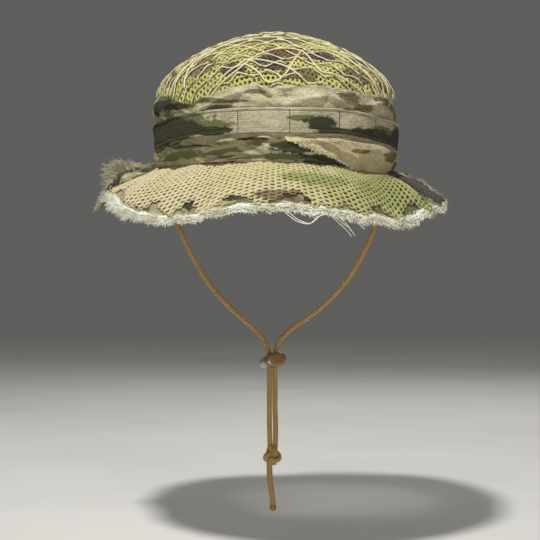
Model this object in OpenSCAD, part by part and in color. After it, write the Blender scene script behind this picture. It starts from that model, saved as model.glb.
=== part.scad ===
/* [Crown] */
// Half width of the crown at the brim seam
seam_half_w = 83; // [76:0.5:90]
// How far the side wall swells beyond the seam
wall_swell = 4; // [1:0.5:8]
// Height of the widest place of the side wall
swell_z = 34; // [28:1:40]
// Height where the side wall turns into the top
dome_z = 55; // [50:1:60]
// Height of the top above the side wall
dome_h = 45.5; // [35:0.5:60]
// Half depth over half width of the crown
depth_ratio = 1.17; // [1.05:0.01:1.25]

/* [Cloth] */
// Thickness of the band, the tape and the sweatband cloth
cloth_t = 1.2; // [0.8:0.1:1.6]
// Thickness of the crown mesh and of the net over it
mesh_t = 1.1; // [0.8:0.1:1.4]
// Air left between neighbouring layers
layer_gap = 0.25; // [0.2:0.05:0.4]
// Height of the crown band
band_h = 50; // [44:1:54]
// Height of the foliage tape's lower edge
tape_z = 18.5; // [14:0.5:22]
// Height of the foliage tape
tape_h = 16.5; // [12:0.5:20]
// Number of bartacks round the tape
tack_count = 16; // [8:1:20]
// Height of the sweatband
sweatband_h = 32; // [25:1:36]

/* [Brim] */
// Width of the brim, seam to cut edge, along its slope
brim_w = 50; // [46:1:64]
// Thickness of one brim layer, measured upright
brim_layer_t = 1.1; // [0.8:0.1:1.5]
// Width of the frayed edge beyond the cut edge
fray_w = 5; // [2:0.5:7]
// Number of stitch rows round the brim
stitch_rows = 4; // [2:1:6]

/* [Chin cord] */
// Diameter of the cord
cord_d = 3.5; // [3:0.1:4]
// Diameter of the tail below the knot
tail_d = 4; // [3:0.1:4.5]
// Width of the knot
knot_w = 14; // [12:0.5:15]

/* [Cord lock] */
// Width of the lock across the cords
lock_w = 15; // [13.5:0.5:18]
// Height of the lock along the cords
lock_h = 10.4; // [9.5:0.1:12]
// Length of the lock's barrel
barrel_l = 15.5; // [15:0.5:18]
// Travel of the plunger
plunger_travel = 2.6; // [2:0.1:2.8]
// Turn of the lock about the cords
lock_yaw = 18; // [0:1:20]
// Upward tilt of the lock's cap
lock_pitch = 10; // [0:1:10]
// Roll of the lock about its own axis
lock_roll = 8; // [0:1:10]

/* [Hidden] */

// Every layer shares one angular grid, so stacked layers never cross
steps = 48;
seam_half_d = seam_half_w * depth_ratio;
dome_w = seam_half_w + 0.5 * wall_swell;
dome_power = 1.29;
band_z = 0.8;

// Drop and reach of the brim's cut edge from the seam, every 15 degrees round from the back
rim_drop = [
    10, 6, -4, -11, -9, 0.5, 15, 18, 27.5, 35, 36.5, 32,
    30, 33.5, 36.5, 38.5, 29, 24, 20, 14, 1, -8.5, -6, 2
];
rim_reach = [
    46, 46, 47, 47, 46, 42, 39, 35, 37, 35, 35, 38,
    40, 37.5, 35, 34, 37, 37, 39, 42, 42, 44, 46, 46
];
rim_step = 360 / len(rim_drop);

// Angles run from 0 at the front, through 90 at the wearer's left (+X), to 180 at the back
function direction(i) = 360 * i / steps;

// Half width of the wall's outer face at height z, below the dome
function wall_w(z) =
    let (top_w = 0.5 * wall_swell, over = z - swell_z)
    z < swell_z
        ? seam_half_w + wall_swell * (1 - pow(over / swell_z, 2))
        : seam_half_w + wall_swell - top_w * pow(over / (dome_z - swell_z), 2);

// A ring of the wall at height z, sunk by d under the outer face
function wall_ring(z, d) = [
    for (i = [0 : steps - 1])
        let (t = direction(i), w = wall_w(z))
        [(w - d) * sin(t), -(w * depth_ratio - d) * cos(t), z]
];

// A ring of the dome at elevation angle e, sunk by d under the outer face
function dome_ring(e, d) = [
    for (i = [0 : steps - 1])
        let (
            t = direction(i),
            w = dome_w * pow(cos(e), dome_power),
            z = dome_z + (dome_h - d) * pow(sin(e), dome_power),
            s = d * cos(e)
        )
        [(w - s) * sin(t), -(w * depth_ratio - s) * cos(t), z]
];

// Smooth closed curve through values that stand every 15 degrees
function round_curve(values, t) =
    let (
        n = len(values),
        u = (t + 180) / rim_step,
        k = floor(u),
        f = u - k,
        a = values[(k - 1 + n) % n],
        b = values[k % n],
        c = values[(k + 1) % n],
        e = values[(k + 2) % n]
    )
    b + 0.5 * f * (c - a + f * (2 * a - 5 * b + 4 * c - e + f * (3 * (b - c) + e - a)));

// The brim's width that rim_drop and rim_reach were taken at
rim_brim_w = 50;

// A point of the brim in direction t, at share s of its width, lowered by d
function brim_point(t, s, d) =
    let (
        n = [sin(t) / seam_half_w, -cos(t) / seam_half_d],
        out = n / norm(n),
        widen = brim_w / rim_brim_w,
        down = widen * round_curve(rim_drop, t),
        reach = widen * round_curve(rim_reach, t)
    )
    [
        seam_half_w * sin(t) + out[0] * reach * s,
        -seam_half_d * cos(t) + out[1] * reach * s,
        -down * s * (0.75 + 0.25 * s) - d
    ];
function brim_ring(s, d) = [for (i = [0 : steps - 1]) brim_point(direction(i), s, d)];

function flatten(rings) = [for (ring = rings) for (p = ring) p];

// Solid between rings of equal length; closed joins the last ring to the first.
// A closed loft's second half runs back along its first, and splits its quads along the same
// diagonals, so that two layers that lie on each other have the same creases
module ring_loft(rings, closed = true) {
    n = len(rings[0]);
    m = len(rings);
    last = closed ? m - 1 : m - 2;
    sides = [
        for (r = [0 : last])
            for (i = [0 : n - 1])
                let (
                    s = (r + 1) % m,
                    j = (i + 1) % n,
                    a = r * n + i,
                    b = r * n + j,
                    c = s * n + i,
                    e = s * n + j
                )
                each closed && r >= m / 2 ? [[a, c, e], [a, e, b]] : [[a, c, b], [b, c, e]]
    ];
    caps = closed ? [] : [
        [for (i = [0 : n - 1]) i],
        [for (i = [n - 1 : -1 : 0]) (m - 1) * n + i]
    ];
    polyhedron(points = flatten(rings), faces = concat(sides, caps));
}

// A closed layer between an outer and an inner face, each a list of rings from low to high
module layer(outer, inner) {
    ring_loft(concat(outer, [for (i = [len(inner) - 1 : -1 : 0]) inner[i]]));
}

// A dome-shaped layer: both faces end in a small flat cap at the top
module cap_layer(outer, inner) {
    ring_loft(concat([for (i = [len(inner) - 1 : -1 : 0]) inner[i]], outer), closed = false);
}

module brim_layer(shares, top, thick) {
    layer([for (s = shares) brim_ring(s, top + thick)], [for (s = shares) brim_ring(s, top)]);
}

// Sweeps a round tube of diameter d along points; both its end faces are level
module tube(points, d, sides = 8) {
    n = len(points);
    function along(k) =
        k == 0 || k == n - 1
            ? [0, 0, -1]
            : let (v = points[k + 1] - points[k - 1]) v / norm(v);
    function side_of(v) =
        let (c = cross(v, [0, 1, 0])) c / norm(c);
    rings = [
        for (k = [0 : n - 1])
            let (v = along(k), a = side_of(v), b = cross(v, a))
            [for (q = [0 : sides - 1])
                points[k] + d / 2 * (a * cos(360 * q / sides) + b * sin(360 * q / sides))]
    ];
    ring_loft([for (k = [n - 1 : -1 : 0]) rings[k]], closed = false);
}

// A flat-sided oval: a rectangle with round ends
module oval(w, h) {
    square([w - h, h], center = true);
    translate([(h - w) / 2, 0]) circle(d = h, $fn = 48);
    translate([(w - h) / 2, 0]) circle(d = h, $fn = 48);
}

/* Crown */
mesh_d = cloth_t + layer_gap;
mesh_foot = 40;
dome_rows = [0, 14, 27, 39, 50, 60, 69, 77, 84];

module crown_mesh() {
    color([0.50, 0.52, 0.32])
    cap_layer(
        concat([wall_ring(mesh_foot, mesh_d)], [for (e = dome_rows) dome_ring(e, mesh_d)]),
        concat(
            [wall_ring(mesh_foot, mesh_d + mesh_t)],
            [for (e = dome_rows) dome_ring(e, mesh_d + mesh_t)]
        )
    );
}

// The net lies on the mesh and starts just above the band
net_rows = [2, 14, 27, 39, 50, 60, 69, 77, 84];

module scrim_net() {
    color([0.70, 0.68, 0.52])
    cap_layer(
        [for (e = net_rows) dome_ring(e, 0)],
        [for (e = net_rows) dome_ring(e, mesh_t)]
    );
}

band_rows = [band_z, 10, 20, 30, 40, band_h];

module crown_band() {
    color([0.60, 0.56, 0.43])
    layer(
        [for (z = band_rows) wall_ring(z, 0)],
        [for (z = band_rows) wall_ring(z, cloth_t)]
    );
}

// The cloth end that laps over the band: a sheet that grows taller towards the wearer's left
overlap_first = 3;
overlap_last = 9;
overlap_top = tape_z - 1.5;
overlap_end_h = 4;

module band_overlap() {
    function at(i, z, d) =
        let (t = direction(i), w = wall_w(z))
        [(w + d) * sin(t), -(w * depth_ratio + d) * cos(t), z];
    function foot(i) =
        band_z + (overlap_top - overlap_end_h - band_z) * (overlap_last - i) / (overlap_last - overlap_first);
    function section(i) = [
        at(i, foot(i), layer_gap),
        at(i, overlap_top, layer_gap),
        at(i, overlap_top, layer_gap + mesh_t),
        at(i, foot(i), layer_gap + mesh_t)
    ];
    color([0.66, 0.60, 0.44])
    ring_loft([for (i = [overlap_first : overlap_last]) section(i)], closed = false);
}

tape_rows = [tape_z, tape_z + tape_h / 2, tape_z + tape_h];
tape_face = layer_gap + cloth_t;

module foliage_tape() {
    color([0.55, 0.51, 0.38])
    layer(
        [for (z = tape_rows) wall_ring(z, -tape_face)],
        [for (z = tape_rows) wall_ring(z, -layer_gap)]
    );
}

tack_w = 1.6;
tack_t = 0.6;
// The front loop is centred a little to the wearer's right
tack_first = 6;

module tape_bartacks() {
    z = tape_z + tape_h / 2;
    color([0.30, 0.29, 0.22])
    for (k = [0 : tack_count - 1]) {
        t = tack_first + 360 * k / tack_count;
        w = wall_w(z) + tape_face + layer_gap;
        d = wall_w(z) * depth_ratio + tape_face + layer_gap;
        translate([w * sin(t), -d * cos(t), z])
        rotate([0, 0, atan2(d * sin(t), w * cos(t))])
        translate([0, -tack_t / 2, 0])
        cube([tack_w, tack_t, tape_h - 1], center = true);
    }
}

/* Inside of the head opening */
sweat_rows = [0.5, 11, 21, sweatband_h];
sweat_d = cloth_t + layer_gap;

module sweatband() {
    color([0.32, 0.30, 0.22])
    layer(
        [for (z = sweat_rows) wall_ring(z, sweat_d)],
        [for (z = sweat_rows) wall_ring(z, sweat_d + cloth_t)]
    );
}

brim_stack = 4 * brim_layer_t + 3 * layer_gap;

module seam_binding() {
    rows = [-brim_stack, -0.2];
    function ring(z, d) = [for (p = wall_ring(0, d)) [p[0], p[1], z]];
    color([0.35, 0.33, 0.24])
    layer([for (z = rows) ring(z, 0.5)], [for (z = rows) ring(z, 0.5 + 2 * cloth_t)]);
}

/* Brim, from the top layer down. The layers share their rings, so they never cross */
brim_level = brim_layer_t + layer_gap;
mesh_in = 0.02;
mesh_out = 0.93;
mesh_shares = [for (k = [0 : stitch_rows]) mesh_in + (mesh_out - mesh_in) * k / stitch_rows];
interlining_shares = concat(mesh_shares, [0.97]);
cloth_shares = concat(interlining_shares, [1]);

module brim_mesh() {
    color([0.60, 0.58, 0.37]) brim_layer(mesh_shares, 0, brim_layer_t);
}

module brim_top_cloth() {
    color([0.52, 0.49, 0.36]) brim_layer(cloth_shares, brim_level, brim_layer_t);
}

module brim_interlining() {
    color([0.70, 0.68, 0.60]) brim_layer(interlining_shares, 2 * brim_level, brim_layer_t);
}

module brim_under_cloth() {
    color([0.42, 0.39, 0.29]) brim_layer(cloth_shares, 3 * brim_level, brim_layer_t);
}

stitch_t = 0.6;

module brim_stitching() {
    level = 4 * brim_level;
    half_share = 0.5 * stitch_t / brim_w;
    color([0.28, 0.27, 0.20])
    for (k = [1 : stitch_rows])
        brim_layer([mesh_shares[k] - half_share, mesh_shares[k] + half_share], level, stitch_t);
}

fringe_shares = [1.01, 1 + fray_w / brim_w];
fringe_t = 2;
fringe_gap = 0.4;
upper_fringe_level = fringe_gap;
lower_fringe_level = 2 * fringe_gap + fringe_t;

module brim_fringe_top() {
    color([0.80, 0.79, 0.70]) brim_layer(fringe_shares, upper_fringe_level, fringe_t);
}

module brim_fringe_under() {
    color([0.76, 0.75, 0.65]) brim_layer(fringe_shares, lower_fringe_level, fringe_t);
}

/* Chin cord: the tabs hang from the seam and turn about the middle of their round tops */
tab_top = -2;
tab_x = 76;
tab_w = 10;
tab_t = 2.4;
tab_end = -14;

module cord_tab(x) {
    color([0.45, 0.38, 0.22])
    translate([x - tab_t / 2, 0, 0])
    rotate([90, 0, 90])
    linear_extrude(height = tab_t) {
        translate([-tab_w / 2, tab_end]) square([tab_w, tab_top - tab_w / 2 - tab_end]);
        translate([0, tab_top - tab_w / 2]) circle(d = tab_w, $fn = 48);
    }
}

module cord_tab_left() {
    cord_tab(-tab_x);
}

module cord_tab_right() {
    cord_tab(tab_x);
}

// Routes of the cord's stretches, from the tabs through the lock to the knot
lock_centre = [-2, 0, -134];
knot_centre = [-2, 0, -201];
left_upper_route = [
    [-76, 0, -14], [-75, 0, -20], [-72.5, 0, -29], [-69, 0, -38], [-64, 0, -49],
    [-58, 0, -61], [-51, 0, -73], [-43, 0, -84], [-33, 0, -95], [-23, 0, -104],
    [-14, 0, -112], [-8, 0, -119], [-5, 0, -126], [-4, 0, -131], [-4, 0, -135]
];
right_upper_route = [
    [76, 0, -14], [75.5, 0, -20], [74, 0, -29], [71, 0, -39], [67, 0, -49],
    [61.5, 0, -60], [54.5, 0, -72], [45, 0, -84], [35, 0, -94], [25, 0, -102],
    [16, 0, -108], [8.5, 0, -114], [3, 0, -120], [0.5, 0, -127], [0, 0, -131], [0, 0, -135]
];
left_lower_route = [
    [-4, 0, -135], [-4, 0, -145], [-4, 0, -156], [-4, 0, -167], [-4, 0, -178],
    [-3.8, 0, -187], [-3.6, 0, -194]
];
right_lower_route = [
    [0, 0, -135], [0, 0, -145], [0, 0, -156], [0, 0, -167], [0.4, 0, -178],
    [0.4, 0, -187], [0.2, 0, -194]
];
tail_route = [
    [-4, 0, -208], [-3.8, 0, -216], [-3, 0, -224], [-2, 0, -231], [-1.5, 0, -237]
];
cord_color = [0.50, 0.40, 0.20];

module cord_left_upper() {
    color(cord_color) tube(left_upper_route, cord_d);
}

module cord_right_upper() {
    color(cord_color) tube(right_upper_route, cord_d);
}

module cord_left_lower() {
    color(cord_color) tube(left_lower_route, cord_d);
}

module cord_right_lower() {
    color(cord_color) tube(right_lower_route, cord_d);
}

module cord_knot() {
    color([0.54, 0.43, 0.22]) translate(knot_centre) sphere(d = knot_w, $fn = 48);
}

module cord_tail() {
    color(cord_color) tube(tail_route, tail_d);
}

// The melted end, just below the tail's last point
module cord_tip() {
    tip_h = 4;
    tip_d = tail_d + 0.6;
    color([0.42, 0.24, 0.12])
    translate(tail_route[len(tail_route) - 1] - [0, 0, tip_h])
    rotate_extrude($fn = 32)
    polygon([[0, 0], [tip_d * 0.35, 0.3], [tip_d / 2, 1.4], [tail_d / 2, tip_h], [0, tip_h]]);
}

/* Cord lock: in its own frame the cap faces -Y; the slot for the cords stays upright */
slot_w = 8.2;
slot_l = 5.5;
front_wall = 2.2;
barrel_front = -(slot_l / 2 + front_wall);
wall_t = 1.2;
cavity_w = lock_w - 2 * wall_t;
cavity_h = lock_h - 2 * wall_t;
stem_clearance = 0.25;
cap_t = 2.4;
floor_t = 1.4;

module turned() {
    translate(lock_centre) rotate([0, 0, lock_yaw]) children();
}

module in_lock_place() {
    turned() rotate([-lock_pitch, 0, 0]) rotate([0, -lock_roll, 0]) children();
}

// Turns an outline in X and Z into a bar from y0 to y1
module bar(y0, y1) {
    translate([0, y1, 0]) rotate([90, 0, 0]) linear_extrude(height = y1 - y0) children();
}

module cord_slot(y0, y1) {
    turned() translate([-slot_w / 2, y0, -lock_h]) cube([slot_w, y1 - y0, 2 * lock_h]);
}

module lock_barrel() {
    back = barrel_front + barrel_l;
    color([0.44, 0.33, 0.16])
    difference() {
        in_lock_place() bar(barrel_front, back) oval(lock_w, lock_h);
        in_lock_place() bar(barrel_front - 1, back - floor_t) oval(cavity_w, cavity_h);
        cord_slot(-slot_l / 2, slot_l / 2);
    }
}

stem_back = slot_l / 2 + 2.2;

module lock_plunger() {
    cap_back = barrel_front - plunger_travel - 0.3;
    stem_w = cavity_w - 2 * stem_clearance;
    stem_h = cavity_h - 2 * stem_clearance;
    color([0.48, 0.36, 0.18])
    difference() {
        union() {
            in_lock_place() bar(cap_back - cap_t, cap_back) oval(lock_w, lock_h);
            in_lock_place() bar(cap_back - 0.5, stem_back) oval(stem_w, stem_h);
        }
        cord_slot(-slot_l / 2 - plunger_travel, slot_l / 2);
    }
}

module lock_spring() {
    spring_d = 4.4;
    wire = 0.5;
    gap = 0.1;
    length = barrel_front + barrel_l - floor_t - stem_back;
    color([0.62, 0.62, 0.60])
    in_lock_place()
    translate([0, stem_back + gap, 0])
    rotate([-90, 0, 0])
    difference() {
        cylinder(d = spring_d, h = length - 2 * gap, $fn = 32);
        translate([0, 0, -1]) cylinder(d = spring_d - 2 * wire, h = length + 2, $fn = 32);
    }
}

crown_mesh();
scrim_net();
crown_band();
band_overlap();
foliage_tape();
tape_bartacks();
sweatband();
seam_binding();
brim_mesh();
brim_top_cloth();
brim_interlining();
brim_under_cloth();
brim_stitching();
brim_fringe_top();
brim_fringe_under();
cord_tab_left();
cord_tab_right();
cord_left_upper();
cord_right_upper();
cord_left_lower();
cord_right_lower();
cord_knot();
cord_tail();
cord_tip();
lock_barrel();
lock_plunger();
lock_spring();
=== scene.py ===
"""Boonie hat: the looks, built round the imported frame. Lengths are metres unless a name ends in mm."""
import math

import bpy
import numpy as np
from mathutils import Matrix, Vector


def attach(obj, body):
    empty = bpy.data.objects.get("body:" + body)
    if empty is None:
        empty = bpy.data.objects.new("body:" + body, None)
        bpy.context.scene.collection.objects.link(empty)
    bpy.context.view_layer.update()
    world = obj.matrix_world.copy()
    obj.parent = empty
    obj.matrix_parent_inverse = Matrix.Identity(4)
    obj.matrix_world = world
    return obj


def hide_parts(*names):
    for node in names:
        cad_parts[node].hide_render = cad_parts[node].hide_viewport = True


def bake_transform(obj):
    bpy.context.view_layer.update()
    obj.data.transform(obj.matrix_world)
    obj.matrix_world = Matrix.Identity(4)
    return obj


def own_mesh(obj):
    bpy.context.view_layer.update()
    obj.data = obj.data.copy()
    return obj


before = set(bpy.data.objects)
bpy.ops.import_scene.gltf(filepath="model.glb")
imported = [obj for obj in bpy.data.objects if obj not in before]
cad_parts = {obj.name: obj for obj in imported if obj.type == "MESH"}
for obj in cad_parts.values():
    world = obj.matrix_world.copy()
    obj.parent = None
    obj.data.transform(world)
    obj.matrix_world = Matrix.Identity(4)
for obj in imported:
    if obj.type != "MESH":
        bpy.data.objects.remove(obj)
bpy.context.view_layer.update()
MM = 0.001


# ---------------------------------------------------------------- camera
CAMERA_PLACE = (-0.0036, -1.0, -0.069)
CAMERA_SENSOR_MM = 36.0
CAMERA_LENS_MM = 93.4


def make_camera():
    data = bpy.data.cameras.new("camera")
    data.sensor_width = CAMERA_SENSOR_MM
    data.lens = CAMERA_LENS_MM
    camera = bpy.data.objects.new("camera", data)
    camera.location = CAMERA_PLACE
    camera.rotation_euler = (math.radians(90), 0, 0)
    bpy.context.scene.collection.objects.link(camera)
    bpy.context.scene.camera = camera


make_camera()


# ---------------------------------------------------------------- meshes
def mesh_object(name, verts, faces, material=None, body=None, smooth=True, uv=None, marks=None):
    """verts is n x 3 in metres, faces an m x 4 or m x 3 array or a list of them, marks (n x 4) the print."""
    arrays = faces if isinstance(faces, list) else [faces]
    arrays = [np.asarray(a, np.int32) for a in arrays if len(a)]
    loops = np.concatenate([a.ravel() for a in arrays])
    sizes = np.concatenate([np.full(len(a), a.shape[1], np.int32) for a in arrays])
    mesh = bpy.data.meshes.new(name)
    mesh.vertices.add(len(verts))
    mesh.vertices.foreach_set("co", np.asarray(verts, np.float32).ravel())
    mesh.loops.add(len(loops))
    mesh.loops.foreach_set("vertex_index", loops)
    mesh.polygons.add(len(sizes))
    mesh.polygons.foreach_set("loop_start", np.concatenate([[0], np.cumsum(sizes)[:-1]]).astype(np.int32))
    mesh.polygons.foreach_set("use_smooth", np.full(len(sizes), smooth))
    if uv is not None:
        layer = mesh.uv_layers.new(name="cloth")
        layer.data.foreach_set("uv", np.asarray(uv, np.float32)[loops].ravel())
    if marks is not None:
        layer = mesh.attributes.new("print", "FLOAT_COLOR", "POINT")
        layer.data.foreach_set("color", np.asarray(marks, np.float32).ravel())
    mesh.update(calc_edges=True)
    mesh.validate()
    obj = bpy.data.objects.new(name, mesh)
    bpy.context.scene.collection.objects.link(obj)
    if material:
        mesh.materials.append(material)
    if body:
        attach(obj, body)
    return obj


def grid_quads(rows, cols, wrap):
    """Quads of a grid whose point r, c has index r * cols + c; wrap joins the last column to the first."""
    r, c = np.meshgrid(np.arange(rows - 1), np.arange(cols if wrap else cols - 1), indexing="ij")
    d = (c + 1) % cols
    return np.stack([r * cols + c, r * cols + d, (r + 1) * cols + d, (r + 1) * cols + c], -1).reshape(-1, 4)


def thicken(points, quads, normals, thick, uv=None):
    """A closed shell: points, a copy sunk by thick along normals, and walls along every open edge."""
    n = len(points)
    under = points - normals * (thick[:, None] if np.ndim(thick) else thick)
    edges = np.concatenate([quads[:, [k, (k + 1) % quads.shape[1]]] for k in range(quads.shape[1])])
    key = np.sort(edges, 1)
    _, where, counts = np.unique(
        key[:, 0].astype(np.int64) * n + key[:, 1], return_index=True, return_counts=True
    )
    open_edges = edges[where[counts == 1]]
    a, b = open_edges[:, 0], open_edges[:, 1]
    walls = np.stack([b, a, a + n, b + n], -1)
    verts = np.concatenate([points, under])
    both = None if uv is None else np.concatenate([uv, uv])
    return verts, [quads, quads[:, ::-1] + n, walls], both


def grid_normals(points, wrap):
    """Normals of a rows x cols x 3 grid, pointing to the left of the columns' direction of travel."""
    du = np.gradient(points, axis=0)
    dv = (np.roll(points, -1, 1) - np.roll(points, 1, 1)) if wrap else np.gradient(points, axis=1)
    n = np.cross(dv, du)
    return n / np.maximum(np.linalg.norm(n, axis=-1, keepdims=True), 1e-12)


def cloth_shell(name, points_mm, thick_mm, material, body, wrap=True, uv=None, flip=False, marks=None):
    """A sheet of cloth from a rows x cols grid of points on its outer face, thickened inward."""
    rows, cols = points_mm.shape[:2]
    normals = grid_normals(points_mm, wrap)
    quads = grid_quads(rows, cols, wrap)
    if flip:
        normals, quads = -normals, quads[:, ::-1]
    flat = points_mm.reshape(-1, 3) * MM
    uv_flat = None if uv is None else uv.reshape(-1, 2)
    verts, faces, both = thicken(flat, quads, normals.reshape(-1, 3), thick_mm * MM, uv_flat)
    if marks is not None:
        marks = np.concatenate([marks.reshape(-1, 4)] * 2)
    return mesh_object(name, verts, faces, material, body, uv=both, marks=marks)


def sweep(points, radii, up, sides=8):
    """Verts and faces of tubes: points is tubes x rings x 3, radii tubes x rings, up a vector for each."""
    tubes, rings = points.shape[:2]
    along = np.gradient(points, axis=1)
    along /= np.maximum(np.linalg.norm(along, axis=-1, keepdims=True), 1e-12)
    up = np.broadcast_to(up, points.shape)
    side = np.cross(along, up)
    side /= np.maximum(np.linalg.norm(side, axis=-1, keepdims=True), 1e-12)
    lift = np.cross(side, along)
    angle = np.arange(sides) * 2 * math.pi / sides
    radii = radii[..., None] if radii.ndim == 2 else radii
    radii = np.broadcast_to(radii, (tubes, rings, sides))
    ring = (
        points[:, :, None]
        + side[:, :, None] * (np.cos(angle) * radii)[..., None]
        + lift[:, :, None] * (np.sin(angle) * radii)[..., None]
    )
    base = grid_quads(rings, sides, True)
    quads = (base[None] + (np.arange(tubes) * rings * sides)[:, None, None]).reshape(-1, 4)
    first = np.arange(sides)[::-1][None] + (np.arange(tubes) * rings * sides)[:, None]
    last = np.arange(sides)[None] + (np.arange(tubes) * rings * sides + (rings - 1) * sides)[:, None]
    return ring.reshape(-1, 3), [quads[:, ::-1], first[:, ::-1], last[:, ::-1]]


def join_meshes(parts):
    """Several (verts, faces) into one."""
    verts, faces, start = [], [], 0
    for v, f in parts:
        verts.append(v)
        faces.extend(np.asarray(a) + start for a in f)
        start += len(v)
    return np.concatenate(verts), faces


def stand_in(obj, node):
    """The piece takes the place of a CAD node, which is hidden."""
    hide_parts(node)
    return obj


# ---------------------------------------------------------------- smooth fields
def catmull(a, b, c, e, f):
    return b + 0.5 * f * (c - a + f * (2 * a - 5 * b + 4 * c - e + f * (3 * (b - c) + e - a)))


def round_curve(values, t):
    """Smooth closed curve through values at even angles from the back, as in the CAD; t in radians."""
    values = np.asarray(values, float)
    n = len(values)
    u = (np.asarray(t) + math.pi) / (2 * math.pi) * n
    k = np.floor(u).astype(int)
    return catmull(values[(k - 1) % n], values[k % n], values[(k + 1) % n], values[(k + 2) % n], u - k)


class Field:
    """Smooth noise from -1 to 1 over an angle in radians, where it closes, and a height."""

    def __init__(self, lobes, step_mm, seed, rows=64):
        self.grid = np.random.default_rng(seed).uniform(-1, 1, (lobes, rows))
        self.step = step_mm

    def __call__(self, t, height):
        lobes, rows = self.grid.shape
        u = (np.asarray(t, float) / (2 * math.pi) % 1.0) * lobes
        v = np.asarray(height, float) / self.step + 16
        u, v = np.broadcast_arrays(u, v)
        i, j = np.floor(u).astype(int), np.floor(v).astype(int)
        f, g = u - i, v - j
        f, g = f * f * (3 - 2 * f), g * g * (3 - 2 * g)
        at = lambda a, b: self.grid[a % lobes, b % rows]
        low = at(i, j) * (1 - f) + at(i + 1, j) * f
        high = at(i, j + 1) * (1 - f) + at(i + 1, j + 1) * f
        return low * (1 - g) + high * g


def smoothstep(low, high, x):
    u = np.clip((x - low) / (high - low), 0, 1)
    return u * u * (3 - 2 * u)


def bump(x, centre, width):
    return np.exp(-(((x - centre) / width) ** 2))


# ---------------------------------------------------------------- the hat's own surfaces, in mm
SEAM_W = 83.0
SWELL = 4.0
SWELL_Z = 34.0
DOME_Z = 55.0
DOME_H = 45.5
DEPTH = 1.17
DOME_POWER = 1.29
DOME_W = SEAM_W + 0.5 * SWELL
SEAM_D = SEAM_W * DEPTH
RIM_DROP = [
    10, 6, -4, -11, -9, 0.5, 15, 18, 27.5, 35, 36.5, 32, 30, 33.5, 36.5, 38.5, 29, 24, 20, 14, 1, -8.5, -6,
    2
]
RIM_REACH = [46, 46, 47, 47, 46, 42, 39, 35, 37, 35, 35, 38, 40, 37.5, 35, 34, 37, 37, 39, 42, 42, 44, 46, 46]
# How far the seam between crown and brim sags, round from the back
SEAM_SAG = [2, 2, 2, 2, 2, 2, 2, 1.5, 0, -0.8, -0.7, -0.6, -0.5, -1, -2.5, -4.5, -4.5, -1.5, 1, 2, 2, 2, 2, 2]
BRIM_W = 50.0
TAPE_Z = 18.5
TAPE_H = 16.5
TACKS = 16
TACK_FIRST = math.radians(6)

wall_wave = Field(22, 26, 11)
wall_ripple = Field(64, 9, 12)


def wall_width(z):
    z = np.asarray(z, float)
    low = SEAM_W + SWELL * (1 - ((z - SWELL_Z) / SWELL_Z) ** 2)
    high = SEAM_W + SWELL - 0.5 * SWELL * ((z - SWELL_Z) / (DOME_Z - SWELL_Z)) ** 2
    return np.where(z < SWELL_Z, low, high)


def wall(t, z, d=0.0):
    """A point of the crown's side at angle t and height z, raised outward by d."""
    w = wall_width(z)
    d = d + 0.5 * wall_wave(t, z) * smoothstep(0, 12, z)
    return np.stack(np.broadcast_arrays((w + d) * np.sin(t), -(w * DEPTH + d) * np.cos(t), z), -1)


MERIDIAN_E = np.linspace(math.pi / 2, 0, 400)
MERIDIAN_W = DOME_W * 0.5 * (1 + DEPTH) * np.cos(MERIDIAN_E) ** DOME_POWER
MERIDIAN_Z = DOME_H * np.sin(MERIDIAN_E) ** DOME_POWER
MERIDIAN_S = np.concatenate([[0], np.cumsum(np.hypot(np.diff(MERIDIAN_W), np.diff(MERIDIAN_Z)))])
DOME_ARC = MERIDIAN_S[-1]


def crown(u, v, d=0.0):
    """The crown's top as a flat map: u, v are distances from the top, along the cloth, right and back."""
    s = np.hypot(u, v)
    t = np.arctan2(u, -v)
    e = np.interp(s, MERIDIAN_S, MERIDIAN_E)
    w = DOME_W * np.maximum(np.cos(e), 0) ** DOME_POWER
    over = d * np.cos(e)
    z = DOME_Z + (DOME_H + d) * np.sin(e) ** DOME_POWER
    dome = np.stack([(w + over) * np.sin(t), -(w * DEPTH + over) * np.cos(t), z], -1)
    z_low = DOME_Z - (s - DOME_ARC)
    w_low = wall_width(z_low)
    low = np.stack([(w_low + d) * np.sin(t), -(w_low * DEPTH + d) * np.cos(t), z_low], -1)
    return np.where((s > DOME_ARC)[..., None], low, dome)


brim_wave = Field(30, 40, 21)
brim_ripple = Field(90, 30, 22)
edge_wave = Field(110, 40, 23)
# Radial folds of the brim: middle, half width (degrees), height, extra reach (mm), True at the edge
FOLDS = [
    (-88, 4.0, 2.5, 0, True), (-97, 4.5, -13.0, 7, True), (57, 7.0, 3.0, 0, False),
    (70, 7.0, -4.0, 0, False), (-58, 5.0, 1.6, 0, False), (-30, 6.0, -1.2, 0, False),
    (150, 9.0, 4.0, 0, True), (-160, 12.0, -4.0, 0, True)
]


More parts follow.
